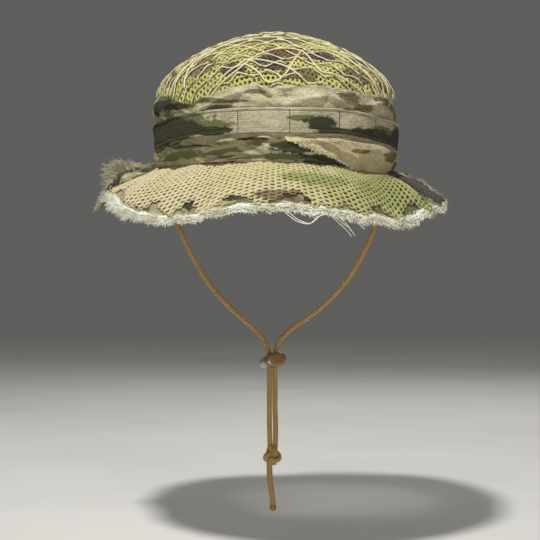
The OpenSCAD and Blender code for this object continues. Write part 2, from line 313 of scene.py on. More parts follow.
def brim(t, s, d=0.0):
    """A point of the brim at angle t and share s of its width, lowered by d: the CAD's, with its folds."""
    nx, ny = np.sin(t) / SEAM_W, -np.cos(t) / SEAM_D
    size = np.hypot(nx, ny)
    reach = round_curve(RIM_REACH, t)
    lift = s * s * (brim_wave(t, s * BRIM_W) + 0.6 * brim_ripple(t, s * BRIM_W))
    for middle, half, height, more, at_edge in FOLDS:
        fold = bump(np.degrees(t), middle, half)
        lift = lift + height * fold * (np.clip(s, 0, 2) ** 1.3 if at_edge else 4 * s * np.clip(1 - s, 0, 1))
        reach = reach + more * fold
    lift = lift + round_curve(SEAM_SAG, t) * np.clip(1 - s, 0, 1) ** 2
    lift = lift + 0.9 * edge_wave(t, s * BRIM_W) * smoothstep(0.6, 1.0, s)
    x = SEAM_W * np.sin(t) + nx / size * reach * s
    y = -SEAM_D * np.cos(t) + ny / size * reach * s
    z = -round_curve(RIM_DROP, t) * s * (0.75 + 0.25 * s) - d + lift
    return np.stack(np.broadcast_arrays(x, y, z), -1)


def paint(t, height, spots, seed, size_mm, free=(0.30, 0.22, 0.20)):
    """Print marks and painted shade: soft fields of olive, dark and brown that pass 0.5 inside their
    blotches.

    The front has its own spots, each (mark, degrees, height, half degrees, half height). The rest is
    seeded at random.
    """
    deg = np.degrees(t)
    border = np.abs(deg) + 9 * Field(30, 14, seed + 9)(t, height)
    front = 1 - smoothstep(94, 97, border)
    out = np.zeros(np.broadcast(t, height).shape + (4,))
    for k, share in enumerate(free):
        wild = 0.5 + 0.55 * Field(20, size_mm, seed + k)(t, height) - (0.5 - share) * 0.6
        out[..., k] = wild * (1 - front)
    for color, at, level, half, tall in spots:
        near = np.exp(-0.693 * (((deg - at) / half) ** 2 + ((height - level) / tall) ** 2))
        out[..., color] = np.maximum(out[..., color], near * front)
    out[..., 3] = 1
    return out


OLIVE_MARK, DARK_MARK, BROWN_MARK = 0, 1, 2


def angles(count):
    return np.linspace(-math.pi, math.pi, count, endpoint=False)


# ---------------------------------------------------------------- materials
def linear(r, g, b):
    return (
        tuple(((c / 255 + 0.055) / 1.055) ** 2.4 if c > 10 else c / 255 / 12.92 for c in (r, g, b)) + (1.0,)
    )


class Nodes:
    """A short way to add nodes: n("ShaderNodeTexNoise", Scale=3) sets inputs by name."""

    def __init__(self, name):
        self.material = bpy.data.materials.new(name)
        self.material.use_nodes = True
        self.tree = self.material.node_tree
        self.shader = self.tree.nodes["Principled BSDF"]

    def __call__(self, kind, settings=None, **inputs):
        node = self.tree.nodes.new(kind)
        for key, value in (settings or {}).items():
            setattr(node, key, value)
        for key, value in inputs.items():
            self.put(node.inputs[key.replace("_", " ")], value)
        return node

    def put(self, socket, value):
        if isinstance(value, bpy.types.NodeSocket):
            self.tree.links.new(value, socket)
        else:
            socket.default_value = value

    def ramp(self, factor, stops, mode="LINEAR"):
        node = self("ShaderNodeValToRGB", Fac=factor)
        node.color_ramp.interpolation = mode
        elements = node.color_ramp.elements
        while len(elements) < len(stops):
            elements.new(0.5)
        for element, (place, color) in zip(elements, stops):
            element.position = place
            element.color = color
        return node.outputs["Color"]

    def mix(self, factor, a, b, blend="MIX"):
        node = self("ShaderNodeMix", {"data_type": "RGBA", "blend_type": blend})
        self.put(node.inputs[0], factor)
        self.put(node.inputs[6], a)
        self.put(node.inputs[7], b)
        return node.outputs[2]

    def math(self, operation, a, b=0.0, clamp=False):
        node = self("ShaderNodeMath", {"operation": operation, "use_clamp": clamp})
        self.put(node.inputs[0], a)
        self.put(node.inputs[1], b)
        return node.outputs[0]

    def object_space(self, scale=(1, 1, 1), turn=(0, 0, 0)):
        place = self("ShaderNodeTexCoord").outputs["Object"]
        return self("ShaderNodeMapping", Vector=place, Scale=scale, Rotation=turn).outputs["Vector"]

    def noise(self, vector, scale, detail=3.0, rough=0.55, warp=0.0):
        return self(
            "ShaderNodeTexNoise", Vector=vector, Scale=scale, Detail=detail, Roughness=rough, Distortion=warp
        ).outputs["Fac"]

    def weave_height(self, pitch):
        """Over-and-under threads on the cloth's own map, which is in metres."""
        flat = self("ShaderNodeUVMap", {"uv_map": "cloth"}).outputs["UV"]
        turns = 0.5 / pitch
        wide = self(
            "ShaderNodeTexWave", {"bands_direction": "X"}, Vector=flat, Scale=turns / math.pi,
            Distortion=0.6
        )
        tall = self(
            "ShaderNodeTexWave", {"bands_direction": "Y"}, Vector=flat, Scale=turns / math.pi,
            Distortion=0.6
        )
        return self.math("ADD", wide.outputs["Fac"], tall.outputs["Fac"])

    def finish(self, color, rough, height=None, depth=0.0002, sheen=0.0):
        self.put(self.shader.inputs["Base Color"], color)
        self.put(self.shader.inputs["Roughness"], rough)
        self.shader.inputs["Specular IOR Level"].default_value = 0.25
        self.shader.inputs["Sheen Weight"].default_value = sheen
        if height is not None:
            relief = self("ShaderNodeBump", Height=height, Strength=0.8, Distance=depth)
            self.put(self.shader.inputs["Normal"], relief.outputs["Normal"])
        return self.material


TAN = linear(176, 166, 132)
PALE = linear(198, 190, 160)
OLIVE = linear(108, 107, 71)
DARK = linear(58, 58, 40)
BROWN = linear(116, 102, 72)
BLACK = (0, 0, 0, 1)
WHITE = (1, 1, 1, 1)
SHADE = (0.55, 0.55, 0.53, 1)
LIFT = (1.3, 1.3, 1.3, 1)
# The channels of the marks (print, and on the brim some painted shade) in the order they are laid, and the
# colour that each one takes
MARK_LAYERS = (("Red", 0), ("Blue", 2), ("Green", 1))


def camo(name, ground=TAN, second=PALE, colors=(OLIVE, DARK, BROWN), ragged=0.95, size=48.0, pitch=0.0007):
    """Printed camouflage on plain-woven cloth: ragged blotches, longer across than tall, at the marks."""
    n = Nodes(name)
    split = n(
        "ShaderNodeSeparateColor",
        Color=n("ShaderNodeAttribute", {"attribute_name": "print"}).outputs["Color"]
    )
    broad = n.noise(n.object_space((1, 1, 2.4)), 34.0, 5.0, 0.62, 0.8)
    color = n.ramp(broad, [(0.32, mixed(ground, colors[2], 0.35)), (0.46, ground), (0.64, second)])
    for k, (channel, ink) in enumerate(MARK_LAYERS):
        rag = n.noise(n.object_space((1, 1, 2.9), (0.1 * k, 0.07 * k, 0.5 * k)), size, 6.0, 0.64, 0.9)
        value = n.math(
            "ADD", split.outputs[channel], n.math("MULTIPLY", n.math("SUBTRACT", rag, 0.44), ragged * 2)
        )
        mask = n.ramp(value, [(0.44, BLACK), (0.58, WHITE)])
        color = n.mix(mask, color, colors[ink])
    fine = n.noise(n.object_space((1, 1, 1.3)), 1100.0, 2.0, 0.6)
    worn = n.noise(n.object_space((1, 1, 1.6)), 130.0, 4.0, 0.7)
    color = n.mix(0.55, color, n.ramp(fine, [(0.3, SHADE), (0.7, LIFT)]), "MULTIPLY")
    color = n.mix(0.35, color, n.ramp(worn, [(0.3, SHADE), (0.7, LIFT)]), "MULTIPLY")
    creased = n.noise(n.object_space((1, 1, 1.8)), 190.0, 3.0, 0.55, 1.2)
    height = n.math(
        "ADD", n.math("MULTIPLY", creased, 13.0),
        n.math("ADD", n.weave_height(pitch), n.math("MULTIPLY", fine, 2.5))
    )
    return n.finish(color, 0.92, height, 0.00011, sheen=0.02)


def mixed(a, b, f=0.5):
    return tuple(x * (1 - f) + y * f for x, y in zip(a, b))


def plain_cloth(name, color, other, scale=60.0, depth=0.0002, woven=True):
    n = Nodes(name)
    broad = n.noise(n.object_space(), scale, 4.0, 0.6)
    fine = n.noise(n.object_space(), 1500.0, 2.0, 0.6)
    shade = n.mix(broad, color, other)
    shade = n.mix(
        0.3, shade, n.ramp(fine, [(0.3, (0.6, 0.6, 0.6, 1)), (0.7, (1.2, 1.2, 1.2, 1))]), "MULTIPLY"
    )
    height = n.math("ADD", n.weave_height(0.0008), fine) if woven else fine
    return n.finish(shade, 0.9, height, depth, sheen=0.1)


def mesh_cloth(name, left, middle, right, colors, ragged=0.6):
    """Knitted mesh whose ground goes from left (-X) through middle to right (+X), with marked patches."""
    n = Nodes(name)
    split = n("ShaderNodeSeparateXYZ", Vector=n.object_space())
    warp = n.noise(n.object_space(), 34.0, 4.0, 0.6, 0.5)
    across = n.math("ADD", n.math("MULTIPLY", split.outputs["X"], 4.2), warp)
    color = n.ramp(across, [(0.24, left), (0.47, mixed(left, middle)), (0.62, middle), (0.92, right)])
    marks = n(
        "ShaderNodeSeparateColor",
        Color=n("ShaderNodeAttribute", {"attribute_name": "print"}).outputs["Color"]
    )
    for k, (channel, ink) in enumerate(MARK_LAYERS):
        rag = n.noise(n.object_space((1, 1, 1.5), (0.1 * k, 0.2, 0.6 * k)), 70.0, 5.0, 0.66, 0.5)
        value = n.math(
            "ADD", marks.outputs[channel], n.math("MULTIPLY", n.math("SUBTRACT", rag, 0.5), ragged * 2)
        )
        color = n.mix(n.ramp(value, [(0.42, BLACK), (0.60, WHITE)]), color, colors[ink])
    fine = n.noise(n.object_space(), 1300.0, 2.0, 0.6)
    color = n.mix(0.6, color, n.ramp(fine, [(0.3, SHADE), (0.7, LIFT)]), "MULTIPLY")
    return n.finish(color, 0.8, fine, 0.0003, sheen=0.1)


def yarn(name, color, other):
    n = Nodes(name)
    fine = n.noise(n.object_space(), 700.0, 3.0, 0.6)
    broad = n.noise(n.object_space(), 45.0, 3.0, 0.6)
    return n.finish(n.mix(n.math("MULTIPLY", fine, broad), color, other), 0.95, fine, 0.0002, sheen=0.2)


def braid(name, color, other):
    n = Nodes(name)
    fine = n.noise(n.object_space((1, 1, 0.5)), 1800.0, 2.0, 0.6)
    broad = n.noise(n.object_space(), 80.0, 3.0, 0.6)
    shade = n.mix(broad, color, other)
    shade = n.mix(
        0.4, shade, n.ramp(fine, [(0.3, (0.5, 0.5, 0.5, 1)), (0.7, (1.3, 1.3, 1.3, 1))]), "MULTIPLY"
    )
    return n.finish(shade, 0.7, fine, 0.0002, sheen=0.1)


def plastic(name, color, other):
    n = Nodes(name)
    swirl = n.noise(n.object_space((1, 1, 2)), 220.0, 3.0, 0.5, 0.6)
    grain = n.noise(n.object_space(), 2500.0, 2.0, 0.5)
    gloss = n("ShaderNodeMath", {"operation": "MULTIPLY_ADD"}, Value=swirl)
    gloss.inputs[1].default_value, gloss.inputs[2].default_value = 0.16, 0.20
    material = n.finish(n.mix(swirl, color, other), gloss.outputs[0], grain, 0.00001)
    n.shader.inputs["Specular IOR Level"].default_value = 0.6
    n.shader.inputs["Coat Weight"].default_value = 0.8
    n.shader.inputs["Coat Roughness"].default_value = 0.08
    return material


def steel(name):
    n = Nodes(name)
    grain = n.noise(n.object_space((1, 1, 6)), 1500.0, 2.0, 0.5)
    n.shader.inputs["Metallic"].default_value = 1.0
    return n.finish(
        n.ramp(grain, [(0.2, (0.4, 0.4, 0.4, 1)), (0.8, (0.65, 0.65, 0.63, 1))]), 0.3, grain, 0.00002
    )


def fray(name, front, rear, other):
    """Loose yarn with painted shade: darker behind than at the front."""
    n = Nodes(name)
    split = n("ShaderNodeSeparateXYZ", Vector=n.object_space())
    # Painted shade: the yarn darkens from the front of the hat to the back.
    painted_shade_behind = n("ShaderNodeMapRange", Value=split.outputs["Y"], From_Min=-0.045, From_Max=0.03)
    fine = n.noise(n.object_space(), 700.0, 3.0, 0.6)
    broad = n.noise(n.object_space(), 60.0, 4.0, 0.6)
    shade = n.mix(painted_shade_behind.outputs[0], front, rear)
    shade = n.mix(n.ramp(broad, [(0.42, BLACK), (0.68, WHITE)]), shade, other)
    return n.finish(shade, 0.95, fine, 0.0002, sheen=0.1)


BAND_CLOTH = camo("band_cloth")
FLAP_CLOTH = camo("flap_cloth", ground=linear(184, 170, 132), second=linear(204, 190, 150))
TAPE_CLOTH = camo("tape_cloth", ground=linear(172, 163, 134), second=linear(188, 178, 150))
TOP_CLOTH = camo("brim_cloth", ground=linear(146, 138, 106), second=linear(170, 160, 126))
# The underside's cloth is the same print with painted shade: its ground is darker than the top's.
UNDER_CLOTH_PAINTED_SHADE = camo("under_cloth", ground=linear(118, 110, 84), second=linear(134, 126, 98))
CROWN_MESH = mesh_cloth(
    "crown_mesh_print", linear(178, 178, 102), linear(192, 190, 116), linear(172, 172, 98),
    (linear(120, 112, 76), linear(74, 68, 66), linear(116, 92, 66)),
)
BRIM_MESH = mesh_cloth(
    "brim_mesh_print", linear(200, 188, 148), linear(190, 182, 128), linear(146, 148, 84),
    (linear(152, 154, 92), linear(62, 54, 44), linear(124, 110, 82)),
)
NET = yarn("net_string_cloth", linear(222, 214, 172), linear(182, 172, 128))
NET_DARK = yarn("net_under_string_cloth", linear(122, 96, 62), linear(96, 88, 56))
# The second colour is painted shade, taken by the yarn behind the hat.
FRAY = fray("frayed_yarn_shaded_behind", linear(238, 236, 220), linear(160, 156, 124), linear(196, 192, 158))
SWEAT = plain_cloth("sweatband_weave", linear(92, 86, 60), linear(66, 62, 44))
BINDING = plain_cloth("binding_weave", linear(104, 88, 56), linear(74, 62, 40))
INTERLINING = plain_cloth("interlining_felt", linear(190, 184, 164), linear(160, 154, 136), woven=False)
THREAD = yarn("sewing_thread_cloth", linear(66, 62, 46), linear(40, 38, 30))
CORD = braid("cord_braid", linear(186, 150, 94), linear(150, 116, 68))
TIP = plastic("melted_tip", linear(150, 98, 48), linear(110, 62, 30))
LOCK = plastic("lock_shell", linear(150, 112, 60), linear(108, 76, 40))
SPRING = steel("spring_steel")


# ---------------------------------------------------------------- chin cord
CORD_D = 3.5 * MM
TAIL_D = 4.0 * MM
LEFT_UPPER = [
    (-76, 0, -14), (-75, 0, -20), (-72.5, 0, -29), (-69, 0, -38), (-64, 0, -49),
    (-58, 0, -61), (-51, 0, -73), (-43, 0, -84), (-33, 0, -95), (-23, 0, -104),
    (-14, 0, -112), (-8, 0, -119), (-5, 0, -126), (-4, 0, -131), (-4, 0, -135),
]
RIGHT_UPPER = [
    (76, 0, -14), (75.5, 0, -20), (74, 0, -29), (71, 0, -39), (67, 0, -49),
    (61.5, 0, -60), (54.5, 0, -72), (45, 0, -84), (35, 0, -94), (25, 0, -102),
    (16, 0, -108), (8.5, 0, -114), (3, 0, -120), (0.5, 0, -127), (0, 0, -131), (0, 0, -135),
]
LEFT_LOWER = [
    (-4, 0, -135), (-4, 0, -145), (-4, 0, -156), (-4, 0, -167), (-4, 0, -178),
    (-3.8, 0, -187), (-3.6, 0, -194),
]
RIGHT_LOWER = [
    (0, 0, -135), (0, 0, -145), (0, 0, -156), (0, 0, -167), (0.4, 0, -178),
    (0.4, 0, -187), (0.2, 0, -194),
]
TAIL = [(-4, 0, -208), (-3.8, 0, -216), (-3, 0, -224), (-2, 0, -231), (-1.5, 0, -237)]


def smooth_path(points, step):
    """Points a step apart, in metres, on a smooth curve through points."""
    p = np.asarray(points, float) * MM
    ends = np.concatenate([[2 * p[0] - p[1]], p, [2 * p[-1] - p[-2]]])
    f = np.linspace(0, 1, 24, endpoint=False)[:, None]
    dense = np.concatenate(
        [catmull(ends[k], ends[k + 1], ends[k + 2], ends[k + 3], f) for k in range(len(p) - 1)] + [p[-1:]]
    )
    run = np.concatenate([[0], np.cumsum(np.linalg.norm(np.diff(dense, axis=0), axis=1))])
    even = np.linspace(0, run[-1], max(3, int(run[-1] / step) + 1))
    return np.stack([np.interp(even, run, dense[:, k]) for k in range(3)], -1)


def braided_tube(path, diameter, sides=20, carriers=8, lay=4.0 * MM, ups=(0.0, 1.0, 0.0)):
    """A tube whose surface shows the crossing strands of a braid."""
    run = np.concatenate([[0], np.cumsum(np.linalg.norm(np.diff(path, axis=0), axis=1))])
    angle = np.arange(sides) * 2 * math.pi / sides
    phase = run[:, None] / lay * 2 * math.pi
    weave = np.cos(carriers / 2 * angle[None] + phase) * np.cos(carriers / 2 * angle[None] - phase)
    radii = diameter / 2 * (1 + 0.045 * weave)
    return sweep(path[None], radii[None], np.asarray(ups), sides)


def make_cord(name, route, diameter, nodes):
    path = smooth_path(route, 0.5 * MM)
    verts, faces = braided_tube(path, diameter)
    obj = mesh_object(name, verts, faces, CORD)
    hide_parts(*nodes)
    return obj, path


left_upper, left_upper_path = make_cord("chin_cord_left_run", LEFT_UPPER, CORD_D, ["cord_left_upper"])
right_upper, right_upper_path = make_cord("chin_cord_right_run", RIGHT_UPPER, CORD_D, ["cord_right_upper"])
left_lower, left_lower_path = make_cord("chin_cord_left_end", LEFT_LOWER, CORD_D, ["cord_left_lower"])
right_lower, right_lower_path = make_cord("chin_cord_right_end", RIGHT_LOWER, CORD_D, ["cord_right_lower"])
tail, tail_path = make_cord("chin_cord_tail", TAIL, TAIL_D, ["cord_tail"])
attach(tail, "chin_cord")
for piece in (left_upper, right_upper):
    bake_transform(piece)
for piece in (left_lower, right_lower):
    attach(piece, "chin_cord")
    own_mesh(piece)


def make_knot():
    """A three-lobed knot pulled tight round a core, with short ends that lead runs and tail into it."""
    u = np.linspace(0, 2 * math.pi, 220, endpoint=False)
    x = 1.75 * (np.sin(u) + 2 * np.sin(2 * u))
    z = 1.75 * (np.cos(u) - 2 * np.cos(2 * u))
    y = -2.3 * np.sin(3 * u)
    tilt = math.radians(62)
    path = np.stack(
        [x * math.cos(tilt) - z * math.sin(tilt) - 2, y, x * math.sin(tilt) + z * math.cos(tilt) - 201], -1
    )
    path = np.concatenate([path, path[:1]]) * MM
    centre = path.mean(0)
    verts, faces = braided_tube(path, 3.7 * MM, ups=(path - centre) / MM)
    faces = faces[:1]
    core_u = np.linspace(-7, 7, 30)
    core = np.stack([-2 - 0.12 * core_u, np.zeros(30), -201 + core_u], -1) * MM
    parts = [(verts, faces), braided_tube(core, 4.5 * MM)]
    ends = [
        [(-3.6, 0, -193.5), (-3.5, 0, -196), (-2.8, 0.5, -199), (-2, 0.5, -201)],
        [(0.2, 0, -193.5), (0.1, -0.2, -196), (-0.4, -0.5, -198), (-1.5, 0, -201)],
        [(-2.5, 0, -202), (-3.4, 0, -204.5), (-3.9, 0, -206.5), (-4.0, 0, -208.6)],
    ]
    for end, wide in zip(ends, (CORD_D, CORD_D, TAIL_D)):
        parts.append(braided_tube(smooth_path(end, 0.5 * MM), wide * 1.01))
    verts, faces = join_meshes(parts)
    knot = mesh_object("chin_cord_knot", verts, faces, CORD, "chin_cord")
    return stand_in(knot, "cord_knot")


def make_tip():
    """The melted end: a little wider than the tail, rounded off."""
    z = np.linspace(0, 1, 14)
    radius = (
        TAIL_D / 2 * (1 + 0.16 * np.sin(z * math.pi) + 0.05)
        * np.sqrt(np.clip(1 - ((z - 0.55) / 0.46).clip(0, 1) ** 2, 0.01, 1))
    )
    path = np.stack([np.full(14, -1.5 * MM), np.zeros(14), (-236.6 - 4.3 * z) * MM], -1)
    verts, faces = sweep(path[None], radius[None], np.array((0.0, 1.0, 0.0)), 20)
    tip = mesh_object("chin_cord_melted_tip", verts, faces, TIP, "chin_cord")
    return stand_in(tip, "cord_tip")


knot = make_knot()
tip = make_tip()


# ---------------------------------------------------------------- cord lock
LOCK_PLACE = np.array((-2.0, 0.0, -134.0))
YAW, PITCH, ROLL = math.radians(18), math.radians(10), math.radians(8)
LOCK_W, LOCK_H = 15.0, 10.4
SLOT_HALF = 2.75
BARREL_FRONT = -4.95
BARREL_BACK = BARREL_FRONT + 15.5
CAP_BACK = BARREL_FRONT - 2.9
CAP_T = 2.4
PLUNGER_TRAVEL = 2.6
SPRING_TURNS = 5


def rotation(axis, angle):
    c, s = math.cos(angle), math.sin(angle)
    i, j = [(1, 2), (2, 0), (0, 1)][axis]
    m = np.eye(3)
    m[i, i], m[i, j], m[j, i], m[j, j] = c, -s, s, c
    return m


TURN = rotation(2, YAW)
LOCK_TURN = TURN @ rotation(0, -PITCH) @ rotation(1, -ROLL)


def oval_ring(width, height, y, count=48, power=2.3):
    """One ring of a rounded oval in the lock's own frame."""
    a = np.arange(count) * 2 * math.pi / count
    x = np.sign(np.cos(a)) * np.abs(np.cos(a)) ** (2 / power) * width / 2
    z = np.sign(np.sin(a)) * np.abs(np.sin(a)) ** (2 / power) * height / 2
    return np.stack([x, np.full(count, float(y)), z], -1)


def lock_mesh(name, sections, material, cuts=()):
    """A bar through sections of (y, width, height), closed at both ends, with boxes cut out."""
    rings = np.stack([oval_ring(w, h, y) for y, w, h in sections])
    rows, cols = rings.shape[:2]
    flat = rings.reshape(-1, 3)
    faces = [
        grid_quads(rows, cols, True), np.arange(cols)[None, ::-1],
        (np.arange(cols) + (rows - 1) * cols)[None]
    ]
    obj = mesh_object(name, flat @ LOCK_TURN.T * MM + LOCK_PLACE * MM, faces, material)
    for cutter in cuts:
        change = obj.modifiers.new("cut", "BOOLEAN")
        change.object = cutter
        change.operation = "DIFFERENCE"
        change.solver = "EXACT"
    if cuts:
        bpy.context.view_layer.update()
        done = bpy.data.meshes.new_from_object(obj.evaluated_get(bpy.context.evaluated_depsgraph_get()))
        obj.modifiers.clear()
        obj.data = done
        for cutter in cuts:
            bpy.data.objects.remove(cutter)
    return obj


def slot_cutter(y0, y1, half_width=4.1, half_height=14.0):
    """The upright slot for the cords, with rounded ends."""
    a = np.linspace(0, 2 * math.pi, 32, endpoint=False)
    radius = 1.9
    x = np.sign(np.cos(a)) * (half_width - radius) + np.cos(a) * radius
    y = np.where(np.sin(a) > 0, y1 - radius, y0 + radius) + np.sin(a) * radius
    low = np.stack([x, y, np.full(32, -half_height)], -1)
    high = low + (0, 0, 2 * half_height)
    verts = np.concatenate([low, high]) @ TURN.T * MM + LOCK_PLACE * MM
    faces = [grid_quads(2, 32, True), np.arange(32)[None, ::-1], (np.arange(32) + 32)[None]]
    return mesh_object("slot_cutter", verts, faces)


def cavity_cutter(y0, y1, width, height):
    rings = np.stack([oval_ring(width, height, y) for y in (y0, y1)]).reshape(-1, 3)
    faces = [grid_quads(2, 48, True), np.arange(48)[None, ::-1], (np.arange(48) + 48)[None]]
    return mesh_object("cavity_cutter", rings @ LOCK_TURN.T * MM + LOCK_PLACE * MM, faces)


def make_lock():
    w, h, f, b = LOCK_W, LOCK_H, BARREL_FRONT, BARREL_BACK
    sections = [
        (f, w - 0.8, h - 0.8), (f + 0.15, w - 0.25, h - 0.25), (f + 0.5, w, h), (f + 1.1, w, h),
        (f + 1.5, w - 0.6, h - 0.6), (f + 6, w - 0.6, h - 0.7), (b - 3, w - 1.0, h - 1.1),
        (b - 1.2, w - 1.9, h - 1.9), (b - 0.4, w - 3.4, h - 3.2), (b, w - 5.6, h - 4.8),
    ]
    barrel = lock_mesh(
        "cord_lock_barrel", sections, LOCK,
        [cavity_cutter(f - 1, b - 1.4, w - 2.4, h - 2.4), slot_cutter(-SLOT_HALF, SLOT_HALF)],
    )
    c = CAP_BACK
    top = c - CAP_T
    sections = [
        (top - 0.35, 4.0, 2.4), (top - 0.32, w * 0.5, h * 0.48), (top - 0.15, w * 0.78, h * 0.76),
        (top + 0.05, w - 1.6, h - 1.6), (top + 0.35, w - 0.6, h - 0.6), (top + 0.8, w, h), (c - 0.6, w, h),
        (c - 0.15, w - 0.4, h - 0.4), (c, w - 1.4, h - 1.4), (c + 0.1, w - 2.9, h - 2.9),
        (4.95, w - 2.9, h - 2.9)
    ]
    plunger = lock_mesh(
        "cord_lock_plunger", sections, LOCK, [slot_cutter(-SLOT_HALF - PLUNGER_TRAVEL, SLOT_HALF)]
    )
    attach(barrel, "cord_lock")
    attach(plunger, "lock_plunger")
    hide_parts("lock_barrel")
    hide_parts("lock_plunger")
    return barrel, plunger


def make_spring():
    """A coil between the plunger's end and the barrel's floor."""
    y0, y1 = 5.05, BARREL_BACK - 1.5
    u = np.linspace(0, 1, 160)
    a = u * 2 * math.pi * SPRING_TURNS
    local = np.stack([1.9 * np.cos(a), y0 + 0.25 + (y1 - y0 - 0.5) * u, 1.9 * np.sin(a)], -1)
    path = (local @ LOCK_TURN.T + LOCK_PLACE) * MM
    verts, faces = sweep(path[None], np.full((1, 160), 0.24 * MM), LOCK_TURN @ np.array((0.0, 1.0, 0.0)), 6)
    spring = mesh_object("cord_lock_spring", verts, faces, SPRING, "cord_lock")
    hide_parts("lock_spring")
    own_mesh(spring)
    return spring


barrel, plunger = make_lock()
spring = make_spring()


# ---------------------------------------------------------------- cord tabs
def make_tab(name, x, node):
    """The two leaves of a strap folded over the cord's end, bulging round the cord."""
    y = np.linspace(-5, 5, 21)
    z = np.linspace(-14, -2, 25)
    half = []
    for side in (-1, 1):
        belly = 1.35 * np.exp(-((y / 2.2) ** 2))[None] * smoothstep(-3, -8, z)[:, None]
        gap = 0.45 + belly
        edge = np.sqrt(np.clip(1 - ((z + 7).clip(0) / 5) ** 2, 0.0, 1))[:, None]
        px = x + side * gap
        half.append(
            np.stack(
                [
                    px, np.broadcast_to(y[None] * np.maximum(edge, 0.3), px.shape),
                    np.broadcast_to(z[:, None], px.shape)
                ],
                -1
            )
        )
    shells = []
    for side, face in zip((-1, 1), half):
        normals = grid_normals(face, False)
        quads = grid_quads(*face.shape[:2], False)
        if (normals[..., 0].mean() > 0) != (side > 0):
            normals, quads = -normals, quads[:, ::-1]
        verts, faces, _ = thicken(face.reshape(-1, 3) * MM, quads, -normals.reshape(-1, 3), -0.7 * MM)
        shells.append((verts, faces))
    verts, faces = join_meshes(shells)
    tab = mesh_object(name, verts, faces, BINDING, "chin_cord")
    return stand_in(tab, node)


make_tab("cord_loop_tab_left", -76.0, "cord_tab_left")
make_tab("cord_loop_tab_right", 76.0, "cord_tab_right")


# ---------------------------------------------------------------- crown mesh and net
def hex_lattice(pitch, radius):
    """Six-sided cells: their centres, their corners and the six unit directions of the corners."""
    reach = int(radius / pitch) + 2
    i, j = np.meshgrid(np.arange(-reach, reach + 1), np.arange(-reach * 2, reach * 2 + 1), indexing="ij")
    cx = (i + 0.5 * (j % 2)) * pitch
    cy = j * pitch * math.sqrt(3) / 2
    centres = np.stack([cx.ravel(), cy.ravel()], -1)
    centres = centres[np.hypot(centres[:, 0], centres[:, 1]) < radius]
    a = (np.arange(6) + 0.5) * math.pi / 3
    unit = np.stack([np.cos(a), np.sin(a)], -1)
    return centres, centres[:, None] + unit * pitch / math.sqrt(3), unit


def merge_points(points, places=3):
    _, first, back = np.unique(np.round(points, places), axis=0, return_index=True, return_inverse=True)
    return points[first], back.ravel()


CROWN_SPOTS = [
    (DARK_MARK, -20, 62, 7, 4.5), (DARK_MARK, -2, 66, 9, 6), (BROWN_MARK, 6, 74, 14, 5),
    (DARK_MARK, 24, 72, 9, 4), (OLIVE_MARK, -40, 66, 12, 8), (OLIVE_MARK, 44, 60, 12, 6),
    (DARK_MARK, 52, 70, 8, 4), (BROWN_MARK, -58, 60, 9, 5), (OLIVE_MARK, 10, 58, 10, 4),
    (BROWN_MARK, 66, 56, 9, 6), (DARK_MARK, -70, 70, 9, 5), (OLIVE_MARK, -10, 88, 40, 6)
]


# Height of the band's upper edge, round from the back
BAND_TOP = [
    50, 51, 52, 51, 50, 52, 55, 54, 50, 42, 45.5, 50, 50, 50.5, 49, 47.5, 49, 52, 53, 52, 50, 51, 52, 51
]
NET_STEP = 9.3
NET_HALF = 12.5
NET_SWING = 4.8
NET_REACH = DOME_ARC + 16
NET_ROWS = int(NET_REACH / NET_STEP)
net_drift = Field(60, 30, 44)


def net_row(k, u, swing=NET_SWING, half=NET_HALF, step=NET_STEP):
    """Where strand k of the net crosses the crown: it zigzags, widely at the front and less elsewhere."""
    v0 = k * step
    turn = u / half * math.pi + (k % 2) * math.pi + 0.7 * np.sin(u * 0.033 + 0.6) + 0.25 * math.sin(k * 2.3)
    corner = np.sin(turn)
    wide = 0.34 + 0.72 * np.exp(-((u / 60) ** 2)) * np.exp(-(((v0 + 52) / 48) ** 2))
    v = v0 + swing * wide * 2 / math.pi * np.arcsin(0.97 * corner)
    v = v + 1.1 * net_drift(u / 60.0, v0) + 4.5 * np.sin(u * 0.045 + 0.8) * math.cos(v0 * 0.04)
    return v - 6.0 * bump(u, 18, 14) * math.exp(-(((v0 + 40) / 26) ** 2)), turn, corner, wide


def band_reach(t):
    """Distance from the top of the crown, along the cloth, at which the band begins."""
    return DOME_ARC + DOME_Z - round_curve(BAND_TOP, t)


def crown_dent(u, v):
    """The mesh puffs up between the strands of the net, which hold it down."""
    near = np.min([np.abs(v - net_row(k, u)[0]) for k in range(-NET_ROWS, NET_ROWS + 1)], axis=0)
    waves = 0.5 * np.sin(u * 0.29 + 1.1 * np.sin(v * 0.19)) * np.sin(v * 0.35 + 1.3 * np.sin(u * 0.17))
    return 1.7 * smoothstep(0, 4.2, near) - 0.9 + waves * smoothstep(0.5, 3, near)


def hole_quads(corners, holes):
    """Quads between each cell's corners and its hole's, both cells x sides of point numbers."""
    n = corners.shape[1]
    k = np.arange(n)
    after = (k + 1) % n
    return np.stack([corners, corners[:, after], holes[:, after], holes], -1).reshape(-1, 4)


def mesh_sheet(name, top, low, quads, marks, material, node):
    """A perforated sheet between the points top and low."""
    normals = top - low
    thick = np.linalg.norm(normals, axis=1)
    verts, faces, _ = thicken(top, quads, normals / thick[:, None], thick)
    obj = mesh_object(name, verts, faces, material, "hat", marks=np.concatenate([marks, marks]))
    return stand_in(obj, node)


